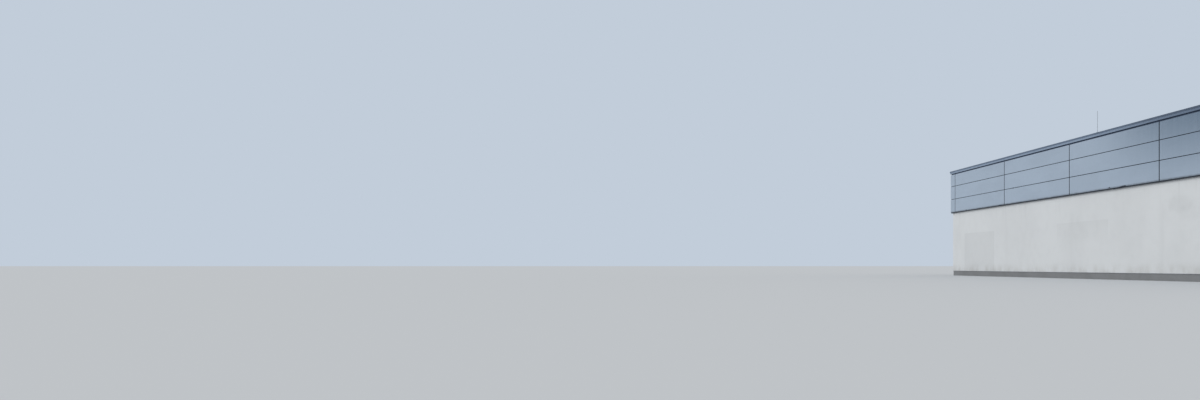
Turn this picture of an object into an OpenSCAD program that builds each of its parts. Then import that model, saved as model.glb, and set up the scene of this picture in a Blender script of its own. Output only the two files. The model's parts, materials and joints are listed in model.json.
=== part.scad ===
// A single-storey supermarket hall. A rendered wall stands round one clear sales floor, a band
// of grey wall panels hangs on the upper wall and the parapet, and a flat roof falls to both
// long sides behind it. Lengths are millimetres. The long front wall faces -Y, the customers'
// entrance is in the +X end, and the origin is on the ground in the middle of the plan.

/* [Plan] */
// Length of the hall over its panels
hall_length = 37200; // [24000:100:39600]
// Width of the hall over its panels
hall_width = 25200; // [16000:100:33000]
// Full panels along each long side, with a column line at each joint between them
long_bays = 6; // [3:1:8]
// Full panels across each end
end_bays = 4; // [3:1:6]
// Leg of a corner panel, from the corner to the middle of its first joint
corner_leg = 600; // [450:10:900]

/* [Walls] */
// Thickness of the rendered wall
wall_t = 400; // [320:10:500]
// Height of the parapets over the wall head, on which the roof deck rests
parapet_h = 1130; // [1000:10:1400]
// Height of the plinth course
plinth_h = 300; // [150:10:500]
// Distance that the plinth stands back from the render
plinth_set = 20; // [5:1:40]
// Height of the floor above the ground
floor_h = 80; // [40:5:150]
// Thickness of the parapet
parapet_t = 200; // [150:10:250]

/* [Panel band] */
// Level of the band's lower edge
band_base = 3925; // [3750:5:4100]
// Height of one row of panels
row_pitch = 800; // [600:10:1000]
// Thickness of a panel
panel_t = 100; // [80:5:150]
// Width of the joint between two panels of a row
bay_joint = 50; // [30:1:80]
// Height of the groove between two rows
row_groove = 30; // [10:1:40]
// Depth of that groove
groove_d = 30; // [15:1:40]
// Clearance behind the groove, between the edges of two rows
row_gap = 1; // [1:0.5:3]
// Depth from the face of a panel to a joint strip
strip_set = 40; // [20:1:60]
// Height of the drip profile under the band
drip_h = 60; // [40:1:90]
// Depth from the face of a panel to the drip profile
drip_set = 15; // [5:1:30]
// Rise of the drip profile's underside towards the wall
drip_rise = 25; // [5:1:35]

/* [Coping] */
// Height of the building over its copings
top_h = 6470; // [6300:10:6800]
// Height of the coping's outer face
coping_face = 165; // [150:5:260]
// Height of the upper fold in that face
coping_fold = 70; // [60:5:120]
// Step from the upper fold in to the lower one
coping_step = 12; // [5:1:20]
// Overhang of the coping over the panels
coping_out = 40; // [30:1:70]
// Thickness of the folded edge
coping_sheet = 6; // [3:1:8]
// Thickness of the coping on the parapet, at its outer edge
coping_t = 40; // [30:1:60]
// Fall of the coping's top towards the roof
coping_fall = 25; // [5:1:26]
// Height of the coping's inner face
coping_inner = 100; // [60:5:150]
// Clearance between the parapet and the coping's inner edge
coping_gap = 20; // [5:1:40]
// Height of the open joint between the panels and the coping
head_gap = 65; // [30:1:80]
// Gap where two lengths meet at a corner
mitre_gap = 4; // [2:1:8]
// Lengths of coping to a bay
coping_lengths = 2; // [1:1:3]
// Gap between two lengths
coping_joint = 6; // [3:1:10]

/* [Roof] */
// Depth of a roof beam
beam_h = 900; // [700:10:1000]
// Width of a beam's flanges
beam_w = 300; // [200:10:380]
// Thickness of a flange
flange_t = 30; // [20:1:40]
// Thickness of a beam's web
web_t = 16; // [10:1:25]
// Width of a column
column_w = 400; // [300:10:500]
// Depth of the roof deck
deck_h = 160; // [100:5:200]
// Spacing of the deck's ribs, which is fitted to the roof
rib_pitch = 300; // [250:10:500]
// Thickness of the deck sheet
deck_t = 5; // [3:1:8]
// Thickness of the roof covering along the eaves
cover_t = 180; // [120:10:250]
// Fall of the roof on each metre
roof_fall = 20; // [10:1:25]
// Thickness of the membrane turned up the parapets
upstand_t = 10; // [4:1:14]
// Diameter of an outlet's flange
outlet_d = 380; // [300:10:450]
// Distance from the parapet to the middle of an outlet
outlet_edge = 600; // [400:10:1000]
// Diameter of an outlet's leaf guard at its foot
guard_d = 220; // [160:5:260]
// Diameter of the guard at its top
guard_top_d = 150; // [100:5:180]
// Height of the guard
guard_h = 90; // [60:5:120]
// Thickness of the guard and its flange
guard_t = 6; // [4:1:8]
// Slots round a guard
guard_slots = 12; // [8:1:16]
// Width of a slot
guard_slot = 14; // [8:1:18]

/* [Entrance] */
// Width of the glazed front
entrance_w = 9000; // [6000:100:10000]
// Height of the glazed front
entrance_h = 3200; // [2900:10:3500]
// Distance from the building's corner to the glazed front
entrance_edge = 1500; // [1000:50:2500]
// Lights across the glazed front, of which the middle two are the doorway
entrance_lights = 6; // [4:2:8]
// Height of the doorway, with the gear over the doors
doorway_h = 2400; // [2200:10:2600]
// Height of the gear over the sliding doors, with the transom that it is fixed to
gear_h = 280; // [200:5:340]
// Depth of that gear
gear_d = 140; // [100:5:150]
// Face width of the glazed front's frame
frame_w = 80; // [50:5:100]
// Depth of the frame
frame_d = 120; // [80:5:150]
// Depth from the render to the frame
reveal = 120; // [60:5:160]
// Face width of a sliding door's frame
stile_w = 60; // [40:5:80]
// Depth of a sliding door's frame
leaf_d = 50; // [36:1:70]
// Gap under a door leaf, between two leaves, and between a leaf and the fixed lights
leaf_gap = 8; // [4:1:12]
// Thickness of the glazing
glass_t = 28; // [20:1:34]
// Depth to which the glazing sits in its frame
glass_bite = 12; // [6:1:20]
// Lap of a closed door leaf behind the frame beside it
leaf_lap = 40; // [15:1:60]

/* [Delivery door] */
// Width of the delivery doorway
delivery_w = 3000; // [2400:50:3600]
// Height of the delivery doorway
delivery_h = 3200; // [2800:10:3500]
// Distance from the building's corner to the delivery doorway
delivery_edge = 3000; // [1500:50:5000]
// Sections of the delivery door
delivery_sections = 6; // [4:1:7]
// Thickness of the delivery door
delivery_t = 60; // [40:1:80]
// Depth of the grooves between its sections
section_groove = 12; // [6:1:16]

/* [Exit door] */
// Width of the exit doorway
exit_w = 1100; // [900:10:2000]
// Height of the exit doorway
exit_h = 2150; // [2000:10:2400]
// Distance from the building's corner to the exit doorway
exit_edge = 12000; // [2000:100:13000]
// Thickness of the exit door
exit_t = 60; // [40:1:70]
// Face width of both steel door frames
jamb_w = 70; // [50:1:100]
// Depth of both steel door frames
jamb_d = 160; // [120:5:200]
// Lap of the exit door on its frame
exit_lap = 18; // [10:1:25]
// Gap round the delivery door and the exit door
door_gap = 4; // [2:1:6]

/* [Lightning rods] */
// Height of a rod over the coping
rod_h = 990; // [500:10:1200]
// Diameter of a rod
rod_d = 18; // [10:1:24]
// Distance from the far corner to the first rod, and from rod to rod
rod_pitch = 14450; // [8000:10:15000]
// Width of a rod's foot
foot_w = 120; // [80:5:160]
// Height of a rod's foot
foot_h = 35; // [20:1:60]

/* [Hidden] */

// The four sides, by the turn that brings the front round to each
front_angle = 0;
entrance_angle = 90;
rear_angle = 180;
far_angle = 270;
SIDES = [front_angle, entrance_angle, rear_angle, far_angle];

RENDER = [0.80, 0.81, 0.82];
PLINTH = [0.47, 0.48, 0.49];
PANEL = [0.60, 0.66, 0.73];
COPING = [0.52, 0.58, 0.65];
DARK = [0.20, 0.23, 0.27];
CONCRETE = [0.62, 0.62, 0.60];
STEEL = [0.55, 0.57, 0.60];
MEMBRANE = [0.55, 0.56, 0.57];
GLASS = [0.62, 0.74, 0.78, 0.5];

// Bays of a side, half its length, and the distance from the middle of the plan to its panels
function is_long(side) = side % 180 == 0;
function side_bays(side) = is_long(side) ? long_bays : end_bays;
function half_len(side) = (is_long(side) ? hall_length : hall_width) / 2;
function face_out(side) = half_len(side + 90);

// Spacing of the joints along a side, and the place of one, counted from the side's left end
function bay(side) = 2 * (half_len(side) - corner_leg) / side_bays(side);
function joint_at(side, count) = (count - side_bays(side) / 2) * bay(side);

// Half sizes of the plan: outer face of the walls, room, and inner face of the parapets
wall_x = half_len(front_angle) - panel_t;
wall_y = half_len(entrance_angle) - panel_t;
room_x = wall_x - wall_t;
room_y = wall_y - wall_t;
ledge_x = wall_x - parapet_t;
ledge_y = wall_y - parapet_t;

// Levels
coping_seat = top_h - coping_t;
wall_head = coping_seat - parapet_h;
coping_foot = top_h - coping_face;
band_top = coping_foot - head_gap;
beam_seat = wall_head - beam_h;
cover_base = wall_head + deck_h;
eaves = cover_base + cover_t;
function roof_level(y) = eaves + (ledge_y - abs(y)) * roof_fall / 1000;

// Rows of the band: the top row takes what is left under the coping
band_rows = max(1, round((band_top - band_base) / row_pitch));
function row_base(r) = band_base + r * row_pitch;
function row_top(r) = r == band_rows - 1 ? band_top : row_base(r + 1);

// Doorways, measured along their side from its middle
entrance_from = -wall_y + entrance_edge;
entrance_to = entrance_from + entrance_w;
entrance_head = floor_h + entrance_h;
delivery_from = -wall_y + delivery_edge;
delivery_to = delivery_from + delivery_w;
delivery_head = floor_h + delivery_h;
exit_from = -wall_x + exit_edge;
exit_to = exit_from + exit_w;
exit_head = floor_h + exit_h;

// Lights of the glazed front
light_pitch = (entrance_w - frame_w) / entrance_lights;
light_w = light_pitch - frame_w;
first_door_light = entrance_lights / 2 - 1;
doorway_w = light_pitch + light_w;
leaf_w = (doorway_w - leaf_gap) / 2 + leaf_lap;
gear_top = doorway_h + frame_w;
leaf_h = gear_top - gear_h - leaf_gap;

// Stands its children on a side: x runs along it, y goes in from the face of the panels
module on_side(side) {
    rotate([0, 0, side]) translate([0, -face_out(side), 0]) children();
}

// Runs a section drawn as (depth, height) along x, from one place to another
module run(from, to) {
    translate([from, 0, 0]) rotate([90, 0, 90]) linear_extrude(to - from) children();
}

// Stands an outline drawn as (x, height) upright, with a thickness that goes in from y = 0
module upright(thickness) {
    translate([0, thickness, 0]) rotate([90, 0, 0]) linear_extrude(thickness) children();
}

// A box on a side, from the plane that lies `depth` behind the face of the panels
module side_box(side, from, to, depth, thickness, low, high) {
    on_side(side) translate([from, depth, low]) cube([to - from, thickness, high - low]);
}

// The part of a side between its two mitres, for a run that reaches `out` and `in` of the face
module between_mitres(side, out, in) {
    end = half_len(side) - mitre_gap / 2;
    intersection() {
        run(-half_len(side) - out, half_len(side) + out) children();
        linear_extrude(top_h) polygon([
            [-end - out, -out], [end + out, -out], [end - in, in], [-end + in, in]
        ]);
    }
}

// The floor, with a threshold out to the render in each doorway
module floor_slab() {
    color(CONCRETE) {
        translate([-room_x, -room_y, 0]) cube([2 * room_x, 2 * room_y, floor_h]);
        side_box(entrance_angle, entrance_from, entrance_to, panel_t, 2 * wall_t, 0, floor_h);
        side_box(far_angle, delivery_from, delivery_to, panel_t, 2 * wall_t, 0, floor_h);
        side_box(rear_angle, exit_from, exit_to, panel_t, 2 * wall_t, 0, floor_h);
    }
}

// Half the length of the walls on a side: the long walls run through and the end walls fit between
function wall_half(side) = is_long(side) ? wall_x : room_y;

// A stretch of wall
module wall(side, from, to, low, high) {
    color(RENDER) side_box(side, from, to, panel_t, wall_t, low, high);
}

// A wall with a doorway through it, up to the head of the doorway
module wall_beside(side, from, to, head) {
    wall(side, -wall_half(side), from, plinth_h, head);
    wall(side, to, wall_half(side), plinth_h, head);
}

// The wall over a doorway, along the whole side
module wall_over(side, head) {
    wall(side, -wall_half(side), wall_half(side), head, wall_head);
}

module plinth(side, from, to) {
    color(PLINTH) side_box(side, from, to, panel_t + plinth_set, wall_t - plinth_set, 0, plinth_h);
}

function plinth_half(side) = is_long(side) ? wall_x - plinth_set : room_y;

module plinth_beside(side, from, to) {
    plinth(side, -plinth_half(side), from);
    plinth(side, to, plinth_half(side));
}

module parapet(side) {
    end = is_long(side) ? wall_x : ledge_y;
    color(RENDER) side_box(side, -end, end, panel_t, parapet_t, wall_head, coping_seat);
}

// A place for each column line between the end walls
module at_column_lines() {
    for (i = [1 : long_bays - 1])
        translate([joint_at(front_angle, i), 0, 0]) children();
}

// Columns along a long side, against the wall
module columns(side) {
    color(CONCRETE) at_column_lines() rotate([0, 0, side])
        translate([-column_w / 2, -room_y, floor_h])
            cube([column_w, column_w, beam_seat - floor_h]);
}

module roof_beams() {
    half = beam_w / 2;
    web = web_t / 2;
    color(STEEL) at_column_lines() translate([0, -room_y, beam_seat]) upright(2 * room_y)
        polygon([
            [-half, 0], [half, 0], [half, flange_t], [web, flange_t],
            [web, beam_h - flange_t], [half, beam_h - flange_t], [half, beam_h],
            [-half, beam_h], [-half, beam_h - flange_t], [-web, beam_h - flange_t],
            [-web, flange_t], [-half, flange_t]
        ]);
}

// Ribbed steel deck: a third of each rib is trough, a third is crest and the rest is its sides
module roof_deck() {
    ribs = round(2 * ledge_y / rib_pitch);
    pitch = 2 * ledge_y / ribs;
    flat = pitch / 3;
    side = pitch / 6;
    rise = deck_h - deck_t;
    under = concat(
        [for (i = [0 : ribs - 1], p = [[0, 0], [flat, 0], [flat + side, rise], [pitch - side, rise]])
            [-ledge_y + i * pitch + p[0], wall_head + p[1]]],
        [[ledge_y, wall_head]]
    );
    last = len(under) - 1;
    over = [for (i = [last : -1 : 0]) under[i] + [0, deck_t]];
    color(STEEL) run(-ledge_x, ledge_x) polygon(concat(under, over));
}

// Tapered insulation and its membrane, highest along the middle of the roof
module roof_covering() {
    color(MEMBRANE) run(-ledge_x, ledge_x) polygon([
        [-ledge_y, cover_base], [ledge_y, cover_base],
        [ledge_y, eaves], [0, roof_level(0)], [-ledge_y, eaves]
    ]);
}

// The membrane turned up the parapets, under the inner edges of the copings
module roof_upstand() {
    inner_x = ledge_x - upstand_t;
    inner_y = ledge_y - upstand_t;
    color(MEMBRANE) {
        for (turn = [0, 1]) mirror([0, turn, 0]) run(-ledge_x, ledge_x) polygon([
            [ledge_y, eaves], [inner_y, roof_level(inner_y)], [inner_y, coping_seat], [ledge_y, coping_seat]
        ]);
        for (turn = [0, 1]) mirror([turn, 0, 0]) run(inner_x, ledge_x) polygon([
            [-inner_y, roof_level(inner_y)], [0, roof_level(0)], [inner_y, roof_level(inner_y)],
            [inner_y, coping_seat], [-inner_y, coping_seat]
        ]);
    }
}

// Slotted guard over a rainwater outlet, on a flange that lies on the membrane
module outlet_guard() {
    inside = guard_d / 2 - guard_t;
    cylinder(h = guard_t, d = outlet_d, $fn = 32);
    translate([0, 0, guard_t]) difference() {
        rotate_extrude($fn = 32) polygon([
            [inside, 0], [guard_d / 2, 0], [guard_top_d / 2, guard_h], [0, guard_h],
            [0, guard_h - guard_t], [guard_top_d / 2 - guard_t, guard_h - guard_t]
        ]);
        for (i = [0 : guard_slots - 1]) rotate([0, 0, i * 360 / guard_slots])
            translate([guard_top_d / 4, -guard_slot / 2, guard_t])
                cube([guard_d / 2, guard_slot, guard_h - 3 * guard_t]);
    }
}

// Outlets along both eaves, beside every second beam, each laid to the fall of the roof
module roof_outlets() {
    y = ledge_y - outlet_edge;
    color(DARK) for (i = [1 : 2 : long_bays - 1], turn = [0, 1]) mirror([0, turn, 0])
        translate([joint_at(front_angle, i) + beam_w, y, roof_level(y)])
            rotate([-atan(roof_fall / 1000), 0, 0]) outlet_guard();
}

// Section of a panel in row r: its edges meet the rows beside it behind a groove
module panel_section(r) {
    low = row_base(r);
    high = row_top(r);
    foot = r == 0 ? 0 : row_groove / 2;
    head = r == band_rows - 1 ? 0 : row_groove / 2;
    under = r == 0 ? 0 : row_gap / 2;
    over = r == band_rows - 1 ? 0 : row_gap / 2;
    polygon([
        [0, low + foot], [groove_d, low + foot], [groove_d, low + under], [panel_t, low + under],
        [panel_t, high - over], [groove_d, high - over], [groove_d, high - head], [0, high - head]
    ]);
}

// The full panels of a side, in rows
module band(side) {
    color(PANEL) on_side(side) for (r = [0 : band_rows - 1], b = [0 : side_bays(side) - 1]) {
        from = joint_at(side, b) + bay_joint / 2;
        run(from, from + bay(side) - bay_joint) panel_section(r);
    }
}

// One leg of a corner panel, cut back to the mitre; `way` is the end of the side that it stands at
module corner_leg_piece(side, way, r) {
    half = half_len(side);
    joint = half - corner_leg + bay_joint / 2;
    on_side(side) mirror([way > 0 ? 0 : 1, 0, 0]) intersection() {
        run(joint, half) panel_section(r);
        linear_extrude(top_h) polygon([
            [joint, 0], [half, 0], [half - panel_t, panel_t], [joint, panel_t]
        ]);
    }
}

module band_corners() {
    color(PANEL) for (side = SIDES, r = [0 : band_rows - 1]) union() {
        corner_leg_piece(side, 1, r);
        corner_leg_piece((side + 90) % 360, -1, r);
    }
}

// Dark strips that close the upright joints
module band_joint_strips() {
    color(DARK) for (side = SIDES, j = [0 : side_bays(side)]) {
        middle = joint_at(side, j);
        side_box(side, middle - bay_joint / 2, middle + bay_joint / 2,
            strip_set, panel_t - strip_set, band_base, band_top);
    }
}

module band_drip() {
    low = band_base - drip_h;
    color(DARK) for (side = SIDES) on_side(side) between_mitres(side, 0, panel_t) polygon([
        [drip_set, low], [panel_t, low + drip_rise], [panel_t, band_base], [drip_set, band_base]
    ]);
}

// Dark trim behind the open joint under the coping
module band_head_trim() {
    color(DARK) for (side = SIDES) on_side(side) between_mitres(side, 0, panel_t) polygon([
        [strip_set, band_top], [panel_t, band_top], [panel_t, coping_seat], [strip_set, coping_seat]
    ]);
}

// Level of the coping's top at a depth in from the face of the panels
function coping_level(depth) =
    top_h - coping_fall * (depth + coping_out) / (coping_out + coping_inside);
coping_inside = panel_t + parapet_t + coping_gap + coping_sheet;

module coping_section() {
    lower = -coping_out + coping_step;
    back = coping_inside - coping_sheet;
    heel = coping_level(coping_inside) - coping_inner;
    polygon([
        [-coping_out, top_h], [-coping_out, top_h - coping_fold],
        [lower, top_h - coping_fold], [lower, coping_foot],
        [lower + coping_sheet, coping_foot], [lower + coping_sheet, coping_seat],
        [back, coping_seat], [back, heel],
        [coping_inside, heel], [coping_inside, coping_level(coping_inside)]
    ]);
}

// Folded coping in lengths that part at each panel joint and between
module coping(side) {
    deep = coping_out + coping_inside;
    color(COPING) on_side(side) difference() {
        between_mitres(side, coping_out, coping_inside) coping_section();
        for (i = [0 : side_bays(side) * coping_lengths])
            translate([joint_at(side, i / coping_lengths) - coping_joint / 2, -deep, wall_head])
                cube([coping_joint, 3 * deep, top_h]);
    }
}

// Stands its children in the glazed front, with x from its left end and z from the floor
module in_entrance() {
    on_side(entrance_angle) translate([entrance_from, panel_t + reveal, floor_h]) children();
}

function light_from(i) = frame_w + i * light_pitch;
function is_door_light(i) = i == first_door_light || i == first_door_light + 1;

module doorway_outline() {
    translate([light_from(first_door_light), 0]) square([doorway_w, doorway_h]);
}

// Outlines of the fixed lights: one under the transom, unless it is doorway, and one over it.
// `bite` is how far each reaches into its frame
module light_outlines(bite) {
    wide = light_w + 2 * bite;
    for (i = [0 : entrance_lights - 1]) translate([light_from(i) - bite, 0]) {
        if (!is_door_light(i))
            translate([0, frame_w - bite]) square([wide, doorway_h - frame_w + 2 * bite]);
        translate([0, doorway_h + frame_w - bite])
            square([wide, entrance_h - doorway_h - 2 * frame_w + 2 * bite]);
    }
}

// Stands an outline upright as a sheet of glazing in the middle of a frame
module glazed(depth) {
    translate([0, (depth - glass_t) / 2, 0]) upright(glass_t) children();
}

module entrance_frame() {
    color(DARK) in_entrance() difference() {
        upright(frame_d) difference() {
            square([entrance_w, entrance_h]);
            doorway_outline();
            light_outlines(0);
        }
        glazed(frame_d) light_outlines(glass_bite);
    }
}

module entrance_glass() {
    color(GLASS) in_entrance() glazed(frame_d) light_outlines(glass_bite);
}

// Drive and track of the sliding doors, fixed to the transom behind the doorway and the lights
// beside it
module entrance_door_gear() {
    color(STEEL) in_entrance()
        translate([light_from(first_door_light - 1), frame_d, gear_top - gear_h])
            cube([4 * light_pitch - frame_w, gear_d, gear_h]);
}

// A place for each sliding door, with x and z from its lower corner
module at_leaves() {
    middle = light_from(first_door_light) + doorway_w / 2;
    for (from = [middle - leaf_gap / 2 - leaf_w, middle + leaf_gap / 2])
        in_entrance() translate([from, frame_d + leaf_gap, leaf_gap]) children();
}

module leaf_light(bite) {
    edge = stile_w - bite;
    translate([edge, edge]) square([leaf_w - 2 * edge, leaf_h - 2 * edge]);
}

module entrance_doors() {
    color(DARK) at_leaves() difference() {
        upright(leaf_d) difference() {
            square([leaf_w, leaf_h]);
            leaf_light(0);
        }
        glazed(leaf_d) leaf_light(glass_bite);
    }
}

module entrance_door_glass() {
    color(GLASS) at_leaves() glazed(leaf_d) leaf_light(glass_bite);
}

// Outline of a steel frame with a face `face` wide, open at the floor
module frame_outline(width, height, face) {
    difference() {
        square([width, height]);
        translate([face, 0]) square([width - 2 * face, height - face]);
    }
}

// Stands its children in a doorway, with y from the face of its frame and z from the floor
module in_doorway(side, from) {
    on_side(side) translate([from, panel_t + reveal, floor_h]) children();
}

module delivery_door_frame() {
    color(DARK) in_doorway(far_angle, delivery_from)
        upright(jamb_d) frame_outline(delivery_w, delivery_h, jamb_w);
}

// Sectional door, which closes behind its frame: a groove across its face marks each section
module delivery_door() {
    section = (delivery_h - door_gap) / delivery_sections;
    color(PANEL) in_doorway(far_angle, delivery_from) translate([0, jamb_d, 0])
        run(door_gap, delivery_w - door_gap) difference() {
            square([delivery_t, delivery_h - door_gap]);
            for (level = [section : section : delivery_h - section / 2])
                translate([0, level]) polygon([
                    [0, -section_groove], [section_groove, 0], [0, section_groove]
                ]);
        }
}

// Frame of the exit door: its leaf shuts into a rebate, flush with the frame's face
module exit_door_frame() {
    color(DARK) in_doorway(rear_angle, exit_from) {
        upright(exit_t) frame_outline(exit_w, exit_h, jamb_w - exit_lap);
        translate([0, exit_t, 0]) upright(jamb_d - exit_t) frame_outline(exit_w, exit_h, jamb_w);
    }
}

module exit_door() {
    edge = jamb_w - exit_lap + door_gap;
    color(PANEL) in_doorway(rear_angle, exit_from)
        translate([edge, 0, leaf_gap]) cube([exit_w - 2 * edge, exit_t, exit_h - edge - leaf_gap]);
}

// Air rods along both long parapets, each on a foot that sits on the coping
module lightning_rods() {
    middle = coping_inside / 2;
    near = middle - foot_w / 2;
    far = middle + foot_w / 2;
    count = floor((2 * half_len(front_angle) - foot_w) / rod_pitch);
    color(STEEL) for (i = [1 : count], turn = [0, 1]) mirror([0, turn, 0])
        on_side(front_angle) translate([-half_len(front_angle) + i * rod_pitch, 0, 0]) {
            run(-foot_w / 2, foot_w / 2) polygon([
                [near, coping_level(near)], [far, coping_level(far)],
                [far, top_h + foot_h], [near, top_h + foot_h]
            ]);
            translate([0, middle, top_h + foot_h])
                cylinder(h = rod_h - foot_h, d = rod_d, $fn = 24);
        }
}

floor_slab();
plinth(front_angle, -plinth_half(front_angle), plinth_half(front_angle));  // plinth_front
plinth_beside(entrance_angle, entrance_from, entrance_to);  // plinth_entrance_end
plinth_beside(rear_angle, exit_from, exit_to);  // plinth_rear
plinth_beside(far_angle, delivery_from, delivery_to);  // plinth_far_end
wall(front_angle, -wall_x, wall_x, plinth_h, wall_head);  // front_wall
wall_beside(entrance_angle, entrance_from, entrance_to, entrance_head);  // entrance_end_wall
wall_over(entrance_angle, entrance_head);  // entrance_end_wall_upper
wall_beside(rear_angle, exit_from, exit_to, exit_head);  // rear_wall
wall_over(rear_angle, exit_head);  // rear_wall_upper
wall_beside(far_angle, delivery_from, delivery_to, delivery_head);  // far_end_wall
wall_over(far_angle, delivery_head);  // far_end_wall_upper
columns(front_angle);  // front_columns
columns(rear_angle);  // rear_columns
roof_beams();
roof_deck();
roof_covering();
roof_upstand();
roof_outlets();
parapet(front_angle);  // parapet_front
parapet(entrance_angle);  // parapet_entrance_end
parapet(rear_angle);  // parapet_rear
parapet(far_angle);  // parapet_far_end
band(front_angle);  // band_front
band(entrance_angle);  // band_entrance_end
band(rear_angle);  // band_rear
band(far_angle);  // band_far_end
band_corners();
band_joint_strips();
band_drip();
band_head_trim();
coping(front_angle);  // coping_front
coping(entrance_angle);  // coping_entrance_end
coping(rear_angle);  // coping_rear
coping(far_angle);  // coping_far_end
entrance_frame();
entrance_glass();
entrance_door_gear();
entrance_doors();
entrance_door_glass();
delivery_door_frame();
delivery_door();
exit_door_frame();
exit_door();
lightning_rods();
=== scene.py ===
"""Looks of a single-storey supermarket hall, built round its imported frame.

The long front wall faces -Y and the customers' entrance is in the +X end. Lengths are metres.
Each sub-assembly is a class that models the seals, fixings and trims that go with its nodes.
The pieces of a side are drawn with x along the side, y in from the face of the wall panels and
z up, and are then stood on that side.
"""
from __future__ import annotations

import json
import logging
import math
from dataclasses import dataclass, replace
from enum import Enum
from typing import Iterable, Sequence

import bpy
from mathutils import Matrix, Vector

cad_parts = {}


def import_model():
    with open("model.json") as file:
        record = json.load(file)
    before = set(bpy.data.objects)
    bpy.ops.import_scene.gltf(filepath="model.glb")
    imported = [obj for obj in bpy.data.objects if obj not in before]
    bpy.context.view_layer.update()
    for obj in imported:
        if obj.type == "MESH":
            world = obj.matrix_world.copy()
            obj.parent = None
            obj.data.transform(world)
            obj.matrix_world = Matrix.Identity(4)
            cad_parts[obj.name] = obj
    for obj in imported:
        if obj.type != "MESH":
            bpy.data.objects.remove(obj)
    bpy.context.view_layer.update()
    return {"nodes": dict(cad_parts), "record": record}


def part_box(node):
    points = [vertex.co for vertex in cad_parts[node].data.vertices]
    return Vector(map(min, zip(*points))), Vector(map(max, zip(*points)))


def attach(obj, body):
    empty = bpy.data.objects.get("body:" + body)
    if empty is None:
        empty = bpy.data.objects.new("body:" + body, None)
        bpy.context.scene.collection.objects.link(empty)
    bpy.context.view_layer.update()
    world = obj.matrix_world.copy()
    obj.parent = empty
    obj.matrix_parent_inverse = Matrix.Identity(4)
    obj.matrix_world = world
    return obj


LOG = logging.getLogger("supermarket")
BODY = "root"
UPRIGHT = (0, 0, 0)
LYING = (math.pi / 2, 0, 0)
ACROSS = (0, math.pi / 2, 0)

# The display curve: its top value, its straight toe and the toe's slope, its lift and its power.
CHANNEL_TOP = 255
CURVE_TOE = 0.04045
TOE_SLOPE = 12.92
CURVE_LIFT = 0.055
CURVE_POWER = 2.4

# The Mix node's sockets for colours, which share their names with its sockets for numbers.
MIX_SHARE, MIX_FIRST, MIX_SECOND, MIX_RESULT = 0, 6, 7, 2

# The share of a stripe's width from its middle to where its soft edge begins.
STRIPE_CORE = 0.17

# The plane that an outline starts from, the gap that closes an outline, the angle from which an
# edge is rounded, and the one up to which it is shaded smooth.
SEED_SIZE = 0.1
WELD_GAP = 0.00005
SHARP_ANGLE = math.radians(50)
SMOOTH_ANGLE = math.radians(35)

Point = Sequence[float]
Section = list[tuple[float, float]]
Paint = tuple[int, int, int]
Colour = tuple[float, float, float, float]


def tone(red: int, green: int, blue: int) -> Colour:
    """Turns a display colour into the linear colour that shaders take.

    Args:
        red: Red on the display, 0 to 255.
        green: Green on the display, 0 to 255.
        blue: Blue on the display, 0 to 255.

    Returns:
        The linear colour, with an alpha of 1.
    """
    def linear(value: int) -> float:
        """Undoes the display curve for one channel.

        Args:
            value: The channel on the display.

        Returns:
            Its linear value.
        """
        share = value / CHANNEL_TOP
        if share <= CURVE_TOE:
            return share / TOE_SLOPE
        return ((share + CURVE_LIFT) / (1 + CURVE_LIFT)) ** CURVE_POWER

    return linear(red), linear(green), linear(blue), 1.0


class Finish(Enum):
    """Every finish of the building: the record's slots, and those of the small fittings."""

    RENDER = "render"
    PLINTH = "plinth"
    PANEL = "panel"
    COPING = "coping"
    DARK_TRIM = "dark_trim"
    CONCRETE = "concrete"
    STEEL = "steel"
    DECK = "deck"
    MEMBRANE = "membrane"
    OUTLET = "outlet"
    FRAME = "frame"
    GLASS = "glass"
    STEEL_DOOR = "steel_door"
    ROD = "rod"
    RUBBER = "rubber"
    BRUSHED = "brushed"
    FROSTED = "frosted"
    WELD = "weld"

    @property
    def slot(self) -> str:
        """The record's slot that the finish goes under."""
        small = {"rubber": "dark_trim", "brushed": "rod", "frosted": "glass", "weld": "membrane"}
        return small.get(self.value, self.value)


class Side(Enum):
    """The four sides of the hall, by the quarter turns that bring the front round to each."""

    FRONT = 0
    ENTRANCE = 1
    REAR = 2
    FAR = 3

    @property
    def is_long(self) -> bool:
        """Whether the side runs along X."""
        return self.value % 2 == 0

    @property
    def label(self) -> str:
        """Ending that the side's nodes carry."""
        return ("front", "entrance_end", "rear", "far_end")[self.value]

    def half(self) -> float:
        """Half the length of the side, out to the faces of the panels."""
        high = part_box("band_corners")[1]
        return high.x if self.is_long else high.y

    def matrix(self) -> Matrix:
        """Turns and moves a piece from the side's own frame on to the side.

        Returns:
            The turn and move.
        """
        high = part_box("band_corners")[1]
        face = high.y if self.is_long else high.x
        turn = Matrix.Rotation(math.pi / 2 * self.value, 4, "Z")
        return turn @ Matrix.Translation((0, -face, 0))

    def box(self, node: str) -> tuple[Vector, Vector]:
        """Finds a node's corners in the side's own frame.

        Args:
            node: Name of the node.

        Returns:
            Its lowest and highest corners.
        """
        back = self.matrix().inverted()
        first, second = (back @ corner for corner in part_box(node))
        return Vector(map(min, first, second)), Vector(map(max, first, second))


@dataclass(frozen=True)
class Clouds:
    """A cloudy pattern, as a share that rises where its noise does.

    `scale` is its lumps to the metre and `detail` its layers of finer lumps. The share goes from
    `low` to `high` while the noise goes from `start` to `end`. `depth` is how strongly the
    pattern marks a colour, and `stretch` is the scale of the place along each axis.
    """

    scale: float
    detail: float
    start: float
    end: float
    depth: float = 1.0
    low: float = 0.0
    high: float = 1.0
    stretch: tuple[float, float, float] = (1, 1, 1)

    def around(self, middle: float) -> Clouds:
        """The same clouds, with a number added to both ends of their share."""
        return replace(self, low=middle + self.low, high=middle + self.high)


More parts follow.
